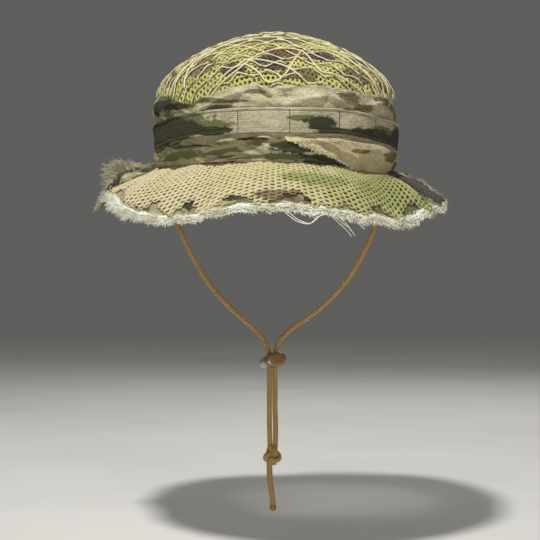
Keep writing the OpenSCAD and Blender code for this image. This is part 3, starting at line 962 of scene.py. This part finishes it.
def make_crown_mesh():
    pitch = 4.0
    hole_r = 1.27
    rng = np.random.default_rng(5)
    centres, corners, unit = hex_lattice(pitch, DOME_ARC + 17)
    size = hole_r * (1 + 0.14 * rng.uniform(-1, 1, len(centres)))
    drift = rng.uniform(-0.18, 0.18, (len(centres), 1, 2))
    holes = centres[:, None] + unit * size[:, None, None] + drift
    outer, back = merge_points(corners.reshape(-1, 2))
    back = back.reshape(-1, 6)
    inner = np.arange(len(centres) * 6).reshape(-1, 6) + len(outer)
    flat = np.concatenate([outer, holes.reshape(-1, 2)])
    quads = hole_quads(back, inner)
    u, v = flat[:, 0], flat[:, 1]
    past = np.hypot(u, v) - band_reach(np.arctan2(u, -v))
    dent = crown_dent(u, v) - 5.0 * smoothstep(0.5, 5, past)
    rim = np.concatenate([np.full(len(outer), 0.30), np.full(len(holes) * 6, -0.10)])
    top = crown(u, v, -1.6 + dent + rim) * MM
    low = crown(u, v, -2.5 + dent + 0.5 * rim) * MM
    marks = paint(np.arctan2(u, -v), top[:, 2] / MM, CROWN_SPOTS, 90, 16)
    return mesh_sheet(
        "crown_top_mesh", top, low, quads, marks, CROWN_MESH, "crown_mesh"
    )


def net_strands(swing, half, step, radius, lift, seed):
    """The net's strands run across the crown in zigzags, and neighbours meet at each other's corners."""
    rng = np.random.default_rng(seed)
    parts = []
    rows = int(NET_REACH / step)
    for k in range(-rows, rows + 1):
        u = np.arange(-NET_REACH, NET_REACH, 1.1)
        v, turn, corner, wide = net_row(k, u, swing, half, step)
        past = np.hypot(u, v) - band_reach(np.arctan2(u, -v))
        shown = past < 5
        if shown.sum() < 12:
            continue
        proud = lift + 0.25 * np.cos(turn * 2 + k) - 2.6 * smoothstep(0, 4, past)
        path = crown(u, v, proud)[shown]
        up = crown(u, v, proud + 1.0)[shown] - path
        knot = 1 + 0.55 * np.abs(corner) ** 18 * (wide > 0.5)
        r = (radius * knot * (1 + 0.10 * np.sin(u * 2.6 + rng.uniform(0, 6))))[shown]
        parts.append(sweep(path[None] * MM, r[None] * MM, up[None], 6))
    return parts


# Strands that have pulled out of line at the front, as places on the crown's map in mm
PULLED = [
    [
        (-62, -104), (-50, -101), (-30, -96), (-13, -84), (4, -76), (20, -77), (34, -94), (47, -92),
        (64, -88), (80, -84)
    ],
    [(-50, -99), (-30, -92), (-21, -88), (-3, -94), (8, -98), (22, -105)],
    [(-24, -92), (-14, -102), (-6, -110), (8, -104), (19, -79)],
    [(-78, -78), (-66, -62), (-50, -53), (-34, -50), (-13, -50), (6, -52)],
    [(-92, -64), (-76, -60), (-62, -54), (-44, -52)],
    [(18, -78), (33, -65), (49, -60), (70, -66), (92, -66)]
]


def pulled_strands():
    parts = []
    for places in PULLED:
        flat = smooth_path([(u, v, 0) for u, v in places], 1.0 * MM) / MM
        u, v = flat[:, 0], flat[:, 1]
        past = np.hypot(u, v) - band_reach(np.arctan2(u, -v))
        proud = -0.1 - 3.0 * smoothstep(0, 4, past)
        path = crown(u, v, proud)
        up = crown(u, v, proud + 1.0) - path
        parts.append(sweep(path[None] * MM, np.full((1, len(u)), 0.60 * MM), up[None], 6))
    return parts


def make_net():
    verts, faces = join_meshes(net_strands(NET_SWING, NET_HALF, NET_STEP, 0.48, -0.85, 41) + pulled_strands())
    net = mesh_object("scrim_netting", verts, faces, NET, "hat")
    verts, faces = join_meshes(net_strands(3.0, 21.0, 9.4, 0.36, -0.9, 47))
    under = mesh_object("scrim_netting_under", verts, faces, NET_DARK, "hat")
    return stand_in(net, "scrim_net"), stand_in(under, "scrim_net")


crown_mesh = make_crown_mesh()
net, net_under = make_net()


# ---------------------------------------------------------------- crown band, flap and tape
fold_coarse = Field(20, 11, 31)
fold_middle = Field(34, 6, 34)
fold_fine = Field(150, 3.2, 32)
edge_field = Field(420, 10, 33)


def crease(value):
    """A sharp ridge where value crosses zero."""
    return np.clip(1 - 1.7 * np.abs(value), -0.5, 1)


# Listed folds of the band: middle (degrees, mm up), half length, rise, half width, height (mm)
BAND_FOLDS = [
    (-21, 43, 7, 3.2, 1.5, 2.4), (-32, 37, 7, 3.6, 1.4, 2.2), (-4.5, 43.5, 4, -2.8, 1.3, -2.0),
    (4, 48, 6, 0.5, 1.6, 1.6), (32, 40, 9, -3.4, 1.6, 2.0), (52, 42, 9, 2.0, 1.5, 1.8),
    (17, 42, 7, 1.6, 1.3, 1.6), (-55, 42, 8, 2.0, 1.5, 1.8), (-49, 9, 13, 3.2, 1.5, 2.4),
    (-26, 8.5, 11, 2.6, 1.4, 2.2), (-8, 15, 7, 2.6, 1.3, 1.6), (-24, 2.4, 14, 1.8, 1.4, 2.0),
    (-40, 13.5, 10, -1.0, 1.2, -1.6), (6, 7, 9, -2.0, 1.5, 1.7), (18, 1.0, 10, -2.4, 1.5, 1.8),
    (-66, 4, 8, 2.5, 1.4, 1.8)
]


def placed_folds(t, z):
    out = 0.0
    for middle, level, half, rise, width, height in BAND_FOLDS:
        along = (np.degrees(t) - middle) / half
        line = level + rise * along
        out = out + height * np.exp(-(((z - line) / width) ** 2)) * np.clip(1 - along * along, 0, 1) ** 1.5
    return out


def band_relief(t, z):
    """How far the band stands proud of the plain wall: puffed above and below the tape, with folds."""
    puff = 1.3 * bump(z, 43, 7) + 2.2 * bump(z, 8, 6.5) - 0.6 * bump(z, 27, 9)
    long_folds = crease(fold_coarse(t + z * 0.016, z)) + 0.6 * crease(fold_middle(t - z * 0.010, z))
    small = crease(1.3 * fold_fine(t + z * 0.02, z))
    folds = 1.3 * long_folds + 0.55 * small + 2.1 * placed_folds(t, z)
    calm = 0.25 + 0.75 * (1 - bump(z, 27, 8))
    tuck = -2.2 * (1 - smoothstep(-3.5, 2.5, z - round_curve(SEAM_SAG, t)))
    narrow = -2.6 - 2.2 * bump(np.degrees(t), 88, 22) * smoothstep(32, 44, z)
    return np.maximum(puff + folds * calm + tuck, -1.9 - 2.4 * smoothstep(4, 0, z)) + narrow


BAND_SPOTS = [
    (OLIVE_MARK, -62, 43, 16, 6), (DARK_MARK, -66, 43, 12, 4), (OLIVE_MARK, -44, 41, 6, 3),
    (DARK_MARK, -48, 40, 7, 1.6), (OLIVE_MARK, -33, 42, 9, 1.8), (BROWN_MARK, -20, 40, 9, 1.0),
    (BROWN_MARK, -9, 46, 4, 1.4), (OLIVE_MARK, -26, 37, 6, 1.2), (BROWN_MARK, 35, 43, 6, 3.6),
    (BROWN_MARK, 42, 38, 5, 2), (BROWN_MARK, 78, 42, 9, 5), (BROWN_MARK, 58, 45, 6, 2.2),
    (OLIVE_MARK, -62, 11, 12, 5), (OLIVE_MARK, -38, 8.5, 16, 2.6), (DARK_MARK, -42, 12, 9, 1.1),
    (OLIVE_MARK, -60, 6, 12, 1.6), (OLIVE_MARK, -20, 11, 14, 3.0), (OLIVE_MARK, -16, 4, 12, 1.4),
    (BROWN_MARK, -6, 14, 8, 1.4), (DARK_MARK, -11, 15.5, 7, 0.9), (DARK_MARK, 8, 10, 9, 3.4),
    (DARK_MARK, 28, 2, 12, 3), (OLIVE_MARK, 2, 4, 9, 1.8), (OLIVE_MARK, 4, 13, 8, 2.6),
    (OLIVE_MARK, 80, 12, 6, 5), (DARK_MARK, 38, 0, 9, 3), (BROWN_MARK, -30, 0.5, 10, 0.8)
]


def printed_cloth(name, t, z, relief, thick, material, print_args, node, wrap=True):
    """A sheet of printed cloth on the crown's wall, at angles t and heights z, raised by relief."""
    uv = np.stack([t * 95 * MM, z * MM], -1)
    marks = paint(t, z, *print_args)
    obj = cloth_shell(name, wall(t, z, relief), thick, material, "hat", wrap=wrap, uv=uv, marks=marks)
    return stand_in(obj, node)


def make_band():
    t = angles(700)
    share = np.linspace(0, 1, 50)
    top = round_curve(BAND_TOP, t) + 0.6 * edge_field(t, 0)
    low = round_curve(SEAM_SAG, t) - 0.9
    z = low[None] + (top - low)[None] * share[:, None]
    tt = np.broadcast_to(t[None], z.shape)
    return printed_cloth(
        "crown_side_band", tt, z, band_relief(tt, z), 0.9, BAND_CLOTH, (BAND_SPOTS, 300, 10), "crown_band",
    )


# Height of the tape's lower edge, round from the back
TAPE_LOW = [
    17, 17, 17, 17, 17, 17, 16, 15, 16, 17.5, 18.5, 19, 19, 19, 19.5, 18, 16.5, 16, 16, 17, 17, 17, 17, 17
]


def tape_low(t):
    return round_curve(TAPE_LOW, t)


def flap_edge(t):
    """Height of the flap's raw lower edge: it falls towards the wearer's left, then follows the seam."""
    diagonal = 15.0 - (np.degrees(t) - 4) * 0.47
    return np.maximum(diagonal, round_curve(SEAM_SAG, t) - 1.6)


FLAP_SPOTS = [(BROWN_MARK, 66, 8, 8, 3), (BROWN_MARK, 40, 9, 5, 1.2), (OLIVE_MARK, 80, 4, 5, 3)]


def make_flap():
    t = np.radians(np.linspace(4, 92, 320))
    share = np.linspace(0, 1, 30)
    rag = 0.7 * edge_field(t * 1.6, 5) + 0.5 * edge_field(t * 0.45, 8)
    low = flap_edge(t) + rag * smoothstep(60, 50, np.degrees(t))
    top = np.full_like(t, TAPE_Z + 3)
    z = low[None] + (top - low)[None] * share[:, None]
    tt = np.broadcast_to(t[None], z.shape)
    deg = np.degrees(tt)
    line = z - 16.5 + (deg - 17) * 0.60
    fold = (
        (2.1 * bump(line, 0, 1.7) + 1.2 * smoothstep(-1, 4, line) - 1.0 * bump(line, -3.4, 1.6))
        * smoothstep(12, 22, deg)
    )
    fold = (fold + 1.15) * smoothstep(-0.5, -5, z - tape_low(tt))
    return printed_cloth(
        "crown_band_flap", tt, z, band_relief(tt, z) + fold + 0.1, 0.8, FLAP_CLOTH, (FLAP_SPOTS, 320, 10),
        "band_overlap", wrap=False
    )


def make_flap_fray():
    """Short white yarn ends along the flap's raw edge."""
    rng = np.random.default_rng(17)
    count = 260
    t = np.radians(rng.uniform(10, 46, count))
    z = flap_edge(t) + 0.2
    base = wall(t, z, band_relief(t, z) + 1.0)
    out = wall(t, z, 10.0) - wall(t, z, 0.0)
    out /= np.linalg.norm(out, axis=1)[:, None]
    side = np.stack([np.cos(t), np.sin(t) * DEPTH, np.zeros(count)], -1)
    length = rng.uniform(0.6, 2.2, count)[:, None]
    q = np.linspace(0, 1, 4)
    down = np.array((0.0, 0.0, -1.0))
    lean = rng.uniform(-0.9, 0.5, (count, 1))
    path = (
        base[:, None] + (down * length)[:, None] * q[:, None] + (side * lean * length)[:, None] * q[:, None]
    )
    path = path + (out * length * rng.uniform(0.0, 0.5, (count, 1)))[:, None] * (q * (1.3 - q))[:, None]
    verts, faces = sweep(path * MM, np.full((count, 4), 0.14 * MM), np.array((0.2, 1.0, 0.1)), 3)
    obj = mesh_object("crown_flap_frayed_edge", verts, faces, FRAY, "hat")
    return obj


tape_wave = Field(40, 12, 35)


def tack_angles():
    return (TACK_FIRST + np.arange(TACKS) * 2 * math.pi / TACKS + math.pi) % (2 * math.pi) - math.pi


def tape_relief(t, z):
    """The tape is held down at its bartacks and stands off between them, with thick folded edges."""
    gap = np.min(np.abs((np.asarray(t)[..., None] - tack_angles() + math.pi) % (2 * math.pi) - math.pi), -1)
    belly = smoothstep(0, 0.13, gap)
    above = (z - tape_low(t)) / TAPE_H
    hem = (
        0.5 * (bump(above, 0.05, 0.045) + bump(above, 0.95, 0.045))
        - 0.2 * (bump(above, 0.15, 0.04) + bump(above, 0.85, 0.04))
    )
    return -0.5 + 0.9 * belly + hem + 0.45 * tape_wave(t, z) + 0.2 * wall_ripple(t, z)


TAPE_SPOTS = [
    (DARK_MARK, -67, 24, 17, 12), (OLIVE_MARK, -50, 29, 16, 8), (DARK_MARK, -45, 23, 9, 5),
    (DARK_MARK, -30, 21.5, 8, 2.6), (OLIVE_MARK, -31, 25, 9, 3), (DARK_MARK, 20, 25, 7, 5),
    (DARK_MARK, 25, 20, 7, 4), (DARK_MARK, 40, 20, 13, 4), (DARK_MARK, 58, 19, 13, 5),
    (BROWN_MARK, 56, 24, 10, 3), (DARK_MARK, 74, 22, 10, 6), (OLIVE_MARK, 12, 29, 5, 1.6)
]


def make_tape():
    t = angles(840)
    share = np.linspace(0, 1, 30)
    z = tape_low(t)[None] + TAPE_H * share[:, None]
    tt = np.broadcast_to(t[None], z.shape)
    return printed_cloth(
        "foliage_loop_tape", tt, z, tape_relief(tt, z), 0.9, TAPE_CLOTH, (TAPE_SPOTS, 340, 9),
        "foliage_tape"
    )


def tape_stitches(t, z, arch, radius, sides):
    """Stitches, one in each row of t and z, that arch over the tape."""
    path = wall(t, z, tape_relief(t, z) + arch)
    up = wall(t, z, 10.0) - wall(t, z, 0.0)
    return sweep(path * MM, np.full(t.shape, radius * MM), up, sides)


def make_tacks():
    """A column of short stitches across the tape at each bartack, and a row along each hem."""
    parts = []
    for t0 in tack_angles():
        steps = 11
        low = tape_low(np.array(t0)) + 0.7
        z0 = low + (TAPE_H - 1.6) * np.arange(steps) / steps
        z = z0[:, None] + np.linspace(0, 0.95, 5)
        t = np.full_like(z, t0)
        arch = np.sin(np.linspace(0, math.pi, 5)) * 0.22 - 0.05
        parts.append(tape_stitches(t, z, arch, 0.26, 5))
    for share in (0.11, 0.89):
        count = 300
        t = angles(count)[:, None] + np.linspace(0, 0.68, 4) * 2 * math.pi / count
        z = tape_low(t) + TAPE_H * share
        arch = np.sin(np.linspace(0, math.pi, 4)) * 0.14 - 0.06
        parts.append(tape_stitches(t, z, arch, 0.12, 4))
    verts, faces = join_meshes(parts)
    obj = mesh_object("tape_bartack_stitches", verts, faces, THREAD, "hat")
    return stand_in(obj, "tape_bartacks")


band = make_band()
flap = make_flap()
flap_fray = make_flap_fray()
tape = make_tape()
tacks = make_tacks()


# ---------------------------------------------------------------- inside of the head opening
def make_sweatband():
    t = angles(360)
    tt, share = np.meshgrid(t, np.linspace(0, 1, 20))
    zz = (round_curve(SEAM_SAG, tt) - 1.5) * (1 - share) + 32 * share
    points = wall(tt, zz, -6.2 - 1.0 * smoothstep(1, 9, zz) + 0.25 * wall_ripple(tt, zz))
    uv = np.stack([tt * 90 * MM, zz * MM], -1)
    obj = cloth_shell("inner_sweatband", points, 0.9, SWEAT, "hat", uv=uv)
    return stand_in(obj, "sweatband")


def make_binding():
    """A folded tape over the raw edges of the seam: a narrow U that opens upward."""
    t = angles(360)
    a = np.linspace(0, math.pi, 13)
    section = (
        [(-3.9, 0.2)] + [(-5.2 + 1.3 * math.cos(k), -3.0 - 1.3 * math.sin(k)) for k in a] + [(-6.5, 0.2)]
    )
    rows = []
    for out, z in section:
        w, d = SEAM_W + out, SEAM_D + out
        rows.append(
            np.stack(
                [w * np.sin(t), -d * np.cos(t), z + round_curve(SEAM_SAG, t) + 0.15 * wall_ripple(t, 0)], -1
            )
        )
    points = np.stack(rows)
    uv = np.stack(np.meshgrid(t * 90 * MM, np.linspace(0, 9, len(section)) * MM), -1)
    obj = cloth_shell("seam_binding_tape", points, 0.6, BINDING, "hat", uv=uv, flip=True)
    return stand_in(obj, "seam_binding")


sweatband = make_sweatband()
binding = make_binding()


# ---------------------------------------------------------------- brim
EDGE_SHARE = 0.93
INNER_SHARE = -0.10
# Marks on the brim's upper cloth: the dark mark round the front near the crown is painted shade in the mesh
# overlay's slots, the dark marks at the far sides are painted shade, the rest is print.
TOP_PRINT_AND_SHADE_SPOTS = [
    (DARK_MARK, 0, 8, 400, 25), (OLIVE_MARK, -50, 44, 4, 3), (OLIVE_MARK, -10, 45, 5, 2.5),
    (BROWN_MARK, 3, 42, 6, 5), (OLIVE_MARK, 38, 43, 5, 4), (OLIVE_MARK, 52, 43, 6, 5),
    (DARK_MARK, 80, 30, 16, 26), (DARK_MARK, -96, 30, 10, 26)
]


def brim_cloth(
    name, level, thick, s_edge, material, node, ragged=0.008, spots=TOP_PRINT_AND_SHADE_SPOTS, seed=400
):
    t = angles(700)
    share = np.linspace(0, 1, 34)
    edge = s_edge + ragged * edge_field(t, level * 4)
    s = INNER_SHARE + (edge - INNER_SHARE)[None] * share[:, None]
    tt = np.broadcast_to(t[None], s.shape)
    points = brim(tt, s, level)
    uv = np.stack([tt * 115 * MM, s * BRIM_W * MM], -1)
    marks = paint(tt, s * BRIM_W, spots, seed, 14, (0.34, 0.30, 0.34))
    obj = cloth_shell(name, points, thick, material, "hat", uv=uv, flip=True, marks=marks)
    return stand_in(obj, node)


OVERLAY_COLS = 172
OVERLAY_ROWS = 15
OVERLAY_STEP = 0.070
OVERLAY_EDGE = Field(46, 12, 51)
# Bites out of the overlay's outer edge: middle and half width in degrees, depth as a share of the brim
OVERLAY_BITES = [
    (-68, 5, 0.16), (-44, 4, 0.22), (-29, 3.5, 0.26), (-13.5, 5, 0.22), (5, 4.5, 0.18), (36, 4, 0.2),
    (51, 5, 0.22), (20, 3, 0.1)
]
# Marks on the brim's mesh overlay: the dark marks at the far sides are painted shade, the rest is print.
MESH_PRINT_AND_SHADE_SPOTS = [
    (DARK_MARK, 6, 43, 5, 4), (BROWN_MARK, 2, 39, 8, 5), (OLIVE_MARK, 14, 20, 12, 8),
    (OLIVE_MARK, 44, 26, 12, 14), (DARK_MARK, 84, 26, 20, 40), (DARK_MARK, -100, 26, 16, 40),
    (BROWN_MARK, 62, 10, 8, 8), (OLIVE_MARK, -80, 10, 8, 8)
]


def make_overlay():
    """Mesh over the brim: columns of slanted slots, the outer edge cut raggedly through the cells."""
    rng = np.random.default_rng(8)
    i, j = np.meshgrid(np.arange(OVERLAY_COLS), np.arange(OVERLAY_ROWS), indexing="ij")
    i, j = i.ravel(), j.ravel()
    col_t = lambda a: a * 2 * math.pi / OVERLAY_COLS - math.pi
    row_s = lambda b: -0.07 + b * OVERLAY_STEP
    shift = 0.5 * (i % 2)
    limit = 0.972 + 0.04 * OVERLAY_EDGE(col_t(i), 0) + 0.02 * rng.uniform(-1, 1, len(i))
    for middle, half, depth in OVERLAY_BITES:
        limit -= depth * bump(np.degrees(col_t(i + 0.5)), middle, half)
    keep = row_s(j + shift + 1) < limit
    i, j, shift = i[keep], j[keep], shift[keep]
    square = np.array([(0, 0), (0.5, 0), (1, 0), (1, 0.5), (1, 1), (0.5, 1), (0, 1), (0, 0.5)])
    a = np.arange(8) * math.pi / 4 - 0.75 * math.pi
    hole = np.stack([0.46 * np.cos(a), 0.28 * np.sin(a)], -1)
    slant = math.radians(-44)
    hole = hole @ np.array([[math.cos(slant), math.sin(slant)], [-math.sin(slant), math.cos(slant)]])
    centre = np.stack([i, j + shift], -1)[:, None]
    corners = centre + square
    corners[..., 0] %= OVERLAY_COLS
    outer, back = merge_points(corners.reshape(-1, 2))
    back = back.reshape(-1, 8)
    holes = centre + 0.5 + hole * (1 + 0.15 * rng.uniform(-1, 1, (len(i), 1, 1)))
    inner = np.arange(len(i) * 8).reshape(-1, 8) + len(outer)
    quads = hole_quads(back, inner)
    wobble = rng.uniform(-0.06, 0.06, outer.shape)
    flat = np.concatenate([outer + wobble, holes.reshape(-1, 2)])
    raise_mm = np.concatenate([0.15 * rng.uniform(-1, 1, len(outer)) + 0.75, np.full(len(i) * 8, 0.15)])
    t, s = col_t(flat[:, 0]), row_s(flat[:, 1])
    puff = 0.7 * brim_ripple(t, s * 20 + 7)
    top = brim(t, s, -(raise_mm + 0.35 + puff)) * MM
    low = brim(t, s, -(raise_mm * 0.3 - 0.35 + puff)) * MM
    # Away from the front the random marks lean to dark: print with painted shade.
    marks = paint(t, s * BRIM_W, MESH_PRINT_AND_SHADE_SPOTS, 440, 16, (0.44, 0.50, 0.42))
    return mesh_sheet(
        "brim_mesh_overlay", top, low, quads[:, ::-1], marks, BRIM_MESH, "brim_mesh"
    )


def make_brim_stitches():
    """Dashed thread round the brim's underside."""
    rows = 4
    parts = []
    for k in range(1, rows + 1):
        s = k / (rows + 1)
        count = 150
        t0 = angles(count)
        share = np.linspace(0, 0.72, 6) * 2 * math.pi / count
        t = t0[:, None] + share[None]
        arch = np.sin(np.linspace(0, math.pi, 6))
        path = brim(t, s, 4.6 + 0.35 * arch[None])
        parts.append(sweep(path * MM, np.full(t.shape, 0.22 * MM), np.array((0.0, 0.0, 1.0)), 4))
    verts, faces = join_meshes(parts)
    obj = mesh_object("brim_quilting_stitches", verts, faces, THREAD, "hat")
    return stand_in(obj, "brim_stitching")


# Length of the fringe in mm, round from the back
FRINGE_LONG = [4, 5, 5, 7, 10, 9, 6, 7.5, 7, 5.2, 3, 3.4, 3.6, 3.6, 3.8, 4.2, 4.2, 3.6, 4, 6, 6, 5, 5, 4]


def outward(t, level):
    """Unit vectors at the brim's cut edge: outward, along the edge and up."""
    step = 1e-3
    out = brim(t, 1.0, level) - brim(t, 0.95, level)
    out /= np.linalg.norm(out, axis=-1, keepdims=True)
    side = brim(t + step, 1.0, level) - brim(t - step, 1.0, level)
    side /= np.linalg.norm(side, axis=-1, keepdims=True)
    up = np.cross(out, side)
    return out, side, up


def mat_yarns(rng, count, level, start):
    """Yarns that lie tangled along the edge, over the roll."""
    t0 = rng.uniform(-math.pi, math.pi, count)
    base = brim(t0, start + 0.075 * rng.random(count), level + rng.uniform(-0.7, 0.5, count))
    out, side, up = outward(t0, level)
    q = np.linspace(-1, 1, 6)
    run = rng.uniform(1.2, 3.4, count)[:, None]
    tilt = rng.uniform(-0.6, 0.6, (count, 1))
    arc = rng.uniform(-0.6, 0.9, (count, 1)) * (1 - q * q)
    path = (
        base[:, None]
        + side[:, None] * (run * q)[..., None]
        + out[:, None] * (run * tilt * q + arc)[..., None]
        + up[:, None] * (0.5 * arc * rng.uniform(-0.5, 1, (count, 1)))[..., None]
    )
    return sweep(path * MM, np.full((count, 6), 0.20 * MM), np.repeat(up[:, None], 6, 1), 3)


def make_fringe(name, node, level, seed, count, start, share_long):
    """Frayed yarn along the cut edge: short strands in clumps and tangled yarns, over a thin matted roll."""
    rng = np.random.default_rng(seed)
    clump = rng.uniform(-math.pi, math.pi, count // 12)
    t0 = clump[rng.integers(0, len(clump), count)] + rng.normal(0, 0.010, count)
    loose = rng.random(count) < 0.5
    t0[loose] = rng.uniform(-math.pi, math.pi, loose.sum())
    t0 = (t0 + math.pi) % (2 * math.pi) - math.pi
    base = brim(t0, start - 0.01 + 0.07 * rng.random(count), level + rng.uniform(-0.5, 0.9, count))
    out, side, up = outward(t0, level)
    field = Field(60, 10, seed + 1)
    long_mm = (
        round_curve(FRINGE_LONG, t0) * share_long * (0.5 + 0.5 * rng.random(count))
        * (1 + 0.3 * field(t0, 0))
    )
    slant = 0.7 * Field(34, 10, seed + 2)(t0, 0) + 0.35 * rng.uniform(-1, 1, count)
    lift = (
        0.14 * rng.uniform(-1, 1, count) - 0.12 + 0.8 * bump(t0, math.radians(-118), 0.22)
        + 0.5 * bump(t0, math.radians(115), 0.2)
    )
    q = np.linspace(0, 1, 5)
    curl = rng.uniform(-0.5, 0.5, (count, 2))
    path = (
        base[:, None]
        + out[:, None] * (long_mm[:, None] * q)[..., None]
        + side[:, None] * (long_mm[:, None] * (slant[:, None] * q + curl[:, :1] * q * q))[..., None]
        + up[:, None] * (long_mm[:, None] * (lift[:, None] * q + 0.30 * curl[:, 1:] * q * q))[..., None]
    )
    path[..., 2] -= 0.06 * long_mm[:, None] * q * q
    width = (0.27 - 0.13 * q)[None] * rng.uniform(0.7, 1.2, (count, 1))
    strands = sweep(path * MM, width * MM, np.repeat(up[:, None], 5, 1), 3)
    t = angles(1200)
    a = np.arange(8) * math.pi / 4
    lump = 1 + 0.6 * Field(900, 3, seed + 3)(t[:, None], a[None] * 3)
    out, side, up = outward(t, level)
    roll = brim(t, start + 0.03, level)[:, None]
    ring = (
        roll + out[:, None] * (0.7 * np.cos(a) * lump)[..., None]
        + up[:, None] * (0.30 * np.sin(a) * lump)[..., None]
    )
    quads = grid_quads(len(t), 8, True)
    k = np.arange(8)
    last = (len(t) - 1) * 8
    joint = np.stack([last + k, last + (k + 1) % 8, (k + 1) % 8, k], -1)
    matted = (ring.reshape(-1, 3) * MM, [np.concatenate([quads, joint])])
    verts, faces = join_meshes([strands, matted, mat_yarns(rng, 1900, level, start)])
    obj = mesh_object(name, verts, faces, FRAY, "hat")
    return stand_in(obj, node)


# Marks under the brim: the dark one at the front is painted shade, the browns are print.
UNDER_PRINT_AND_SHADE_SPOTS = [(DARK_MARK, 0, 25, 40, 14), (BROWN_MARK, 45, 25, 18, 14), (BROWN_MARK, -50, 25, 18, 12)]
top_cloth = brim_cloth(
    "brim_upper_cloth", 0.9, 0.9, EDGE_SHARE + 0.01, TOP_CLOTH, "brim_top_cloth"
)
lining = brim_cloth(
    "brim_stiff_interlining", 2.2, 1.0, EDGE_SHARE - 0.03, INTERLINING, "brim_interlining",
    0.0
)
under_cloth = brim_cloth(
    "brim_lower_cloth", 3.6, 0.9, EDGE_SHARE, UNDER_CLOTH_PAINTED_SHADE, "brim_under_cloth",
    spots=UNDER_PRINT_AND_SHADE_SPOTS, seed=420
)
overlay = make_overlay()
stitches = make_brim_stitches()
top_fringe = make_fringe("brim_upper_fringe", "brim_fringe_top", 0.9, 61, 4400, EDGE_SHARE - 0.035, 1.0)
under_fringe = make_fringe("brim_lower_fringe", "brim_fringe_under", 2.6, 71, 4200, EDGE_SHARE - 0.02, 0.9)


def hanging_threads():
    """Single yarns that have come loose: several hang from the front edge, and one loops at the rear left."""
    parts = []
    runs = [
        [
            (2.5, 0), (6, -3.8), (9.5, -6.6), (13, -7.6), (16.5, -7.2), (19, -5.4), (20.5, -3.5),
            (24, -1.6), (27, -0.6)
        ],
        [
            (4.5, 0.3), (7.5, -3.2), (10.5, -5.6), (14, -6.8), (17.5, -6.6), (20, -4.8), (22.5, -2.4),
            (26, 0.6)
        ],
        [(29, -1), (33, -4.2), (37.5, -7.8), (40.5, -11.5)],
        [(30.5, -0.5), (35, -3.6), (39.5, -6.8), (42.5, -10.6)],
        [(33.5, -0.5), (36, -2.8), (38.5, -5.2), (40, -8.5)], [(45, -1.5), (46.5, -3.6), (48.5, -4.8)]
    ]
    for run in runs:
        xs = np.array([p[0] for p in run], float)
        hang = np.array([p[1] for p in run], float)
        t0 = np.arcsin(np.clip(xs / 110, -1, 1)) * 1.05
        edge = brim(t0, 0.98, 2.0)
        points = edge + np.stack([np.zeros_like(xs), -0.5 - 0.05 * hang, hang], -1)
        path = smooth_path(points, 0.5 * MM)
        parts.append(sweep(path[None], np.full((1, len(path)), 0.27 * MM), np.array((0.3, 1.0, 0.2)), 5))
    loop = [
        (-84, 9.4), (-87, 9.8), (-92, 8.8), (-96, 7.2), (-100.5, 4.4), (-104, 4.4), (-105.6, 6.7),
        (-104, 9), (-101, 9.4), (-97, 8.2), (-94, 7.4), (-88, 9.2), (-84, 10.4)
    ]
    for shift in (0.0, 0.5):
        path = smooth_path([(x, 38 + shift + 0.05 * k, z + shift) for k, (x, z) in enumerate(loop)], 0.5 * MM)
        parts.append(sweep(path[None], np.full((1, len(path)), 0.25 * MM), np.array((0.1, 1.0, 0.2)), 5))
    verts, faces = join_meshes(parts)
    obj = mesh_object("loose_threads", verts, faces, FRAY, "hat")
    return obj


threads = hanging_threads()


# ---------------------------------------------------------------- floor and light
def make_stage():
    size, z = 3.0, -0.262
    corner = [(-size, -size, z), (size, -size, z), (size, size, z), (-size, size, z)]
    n = Nodes("floor_paper")
    soft = n.noise(n.object_space(), 6.0, 3.0, 0.5)
    material = n.finish(n.ramp(soft, [(0.3, linear(214, 212, 206)), (0.7, linear(222, 220, 214))]), 0.9)
    floor = mesh_object("floor", np.array(corner), np.array([[0, 1, 2, 3]]), material)


def area_light(name, place, target, size, power, color=(1, 1, 1)):
    data = bpy.data.lights.new(name, "AREA")
    data.shape = "DISK"
    data.size = size
    data.energy = power
    data.color = color
    light = bpy.data.objects.new(name, data)
    light.location = place
    light.rotation_euler = (Vector(target) - Vector(place)).to_track_quat("-Z", "Y").to_euler()
    bpy.context.scene.collection.objects.link(light)


def make_light():
    world = bpy.data.worlds.new("studio")
    world.use_nodes = True
    world.node_tree.nodes["Background"].inputs["Color"].default_value = (0.82, 0.81, 0.79, 1)
    world.node_tree.nodes["Background"].inputs["Strength"].default_value = 0.14
    bpy.context.scene.world = world
    bpy.context.scene.view_settings.view_transform = "Standard"
    area_light("key", (-0.25, -0.85, 1.35), (0, 0, 0.02), 0.16, 29)
    area_light("fill", (0.35, -1.5, -0.05), (0, 0, -0.05), 0.5, 5)
    area_light("back", (0.3, 1.1, 0.8), (0, 0, 0), 0.6, 5)


make_stage()
make_light()
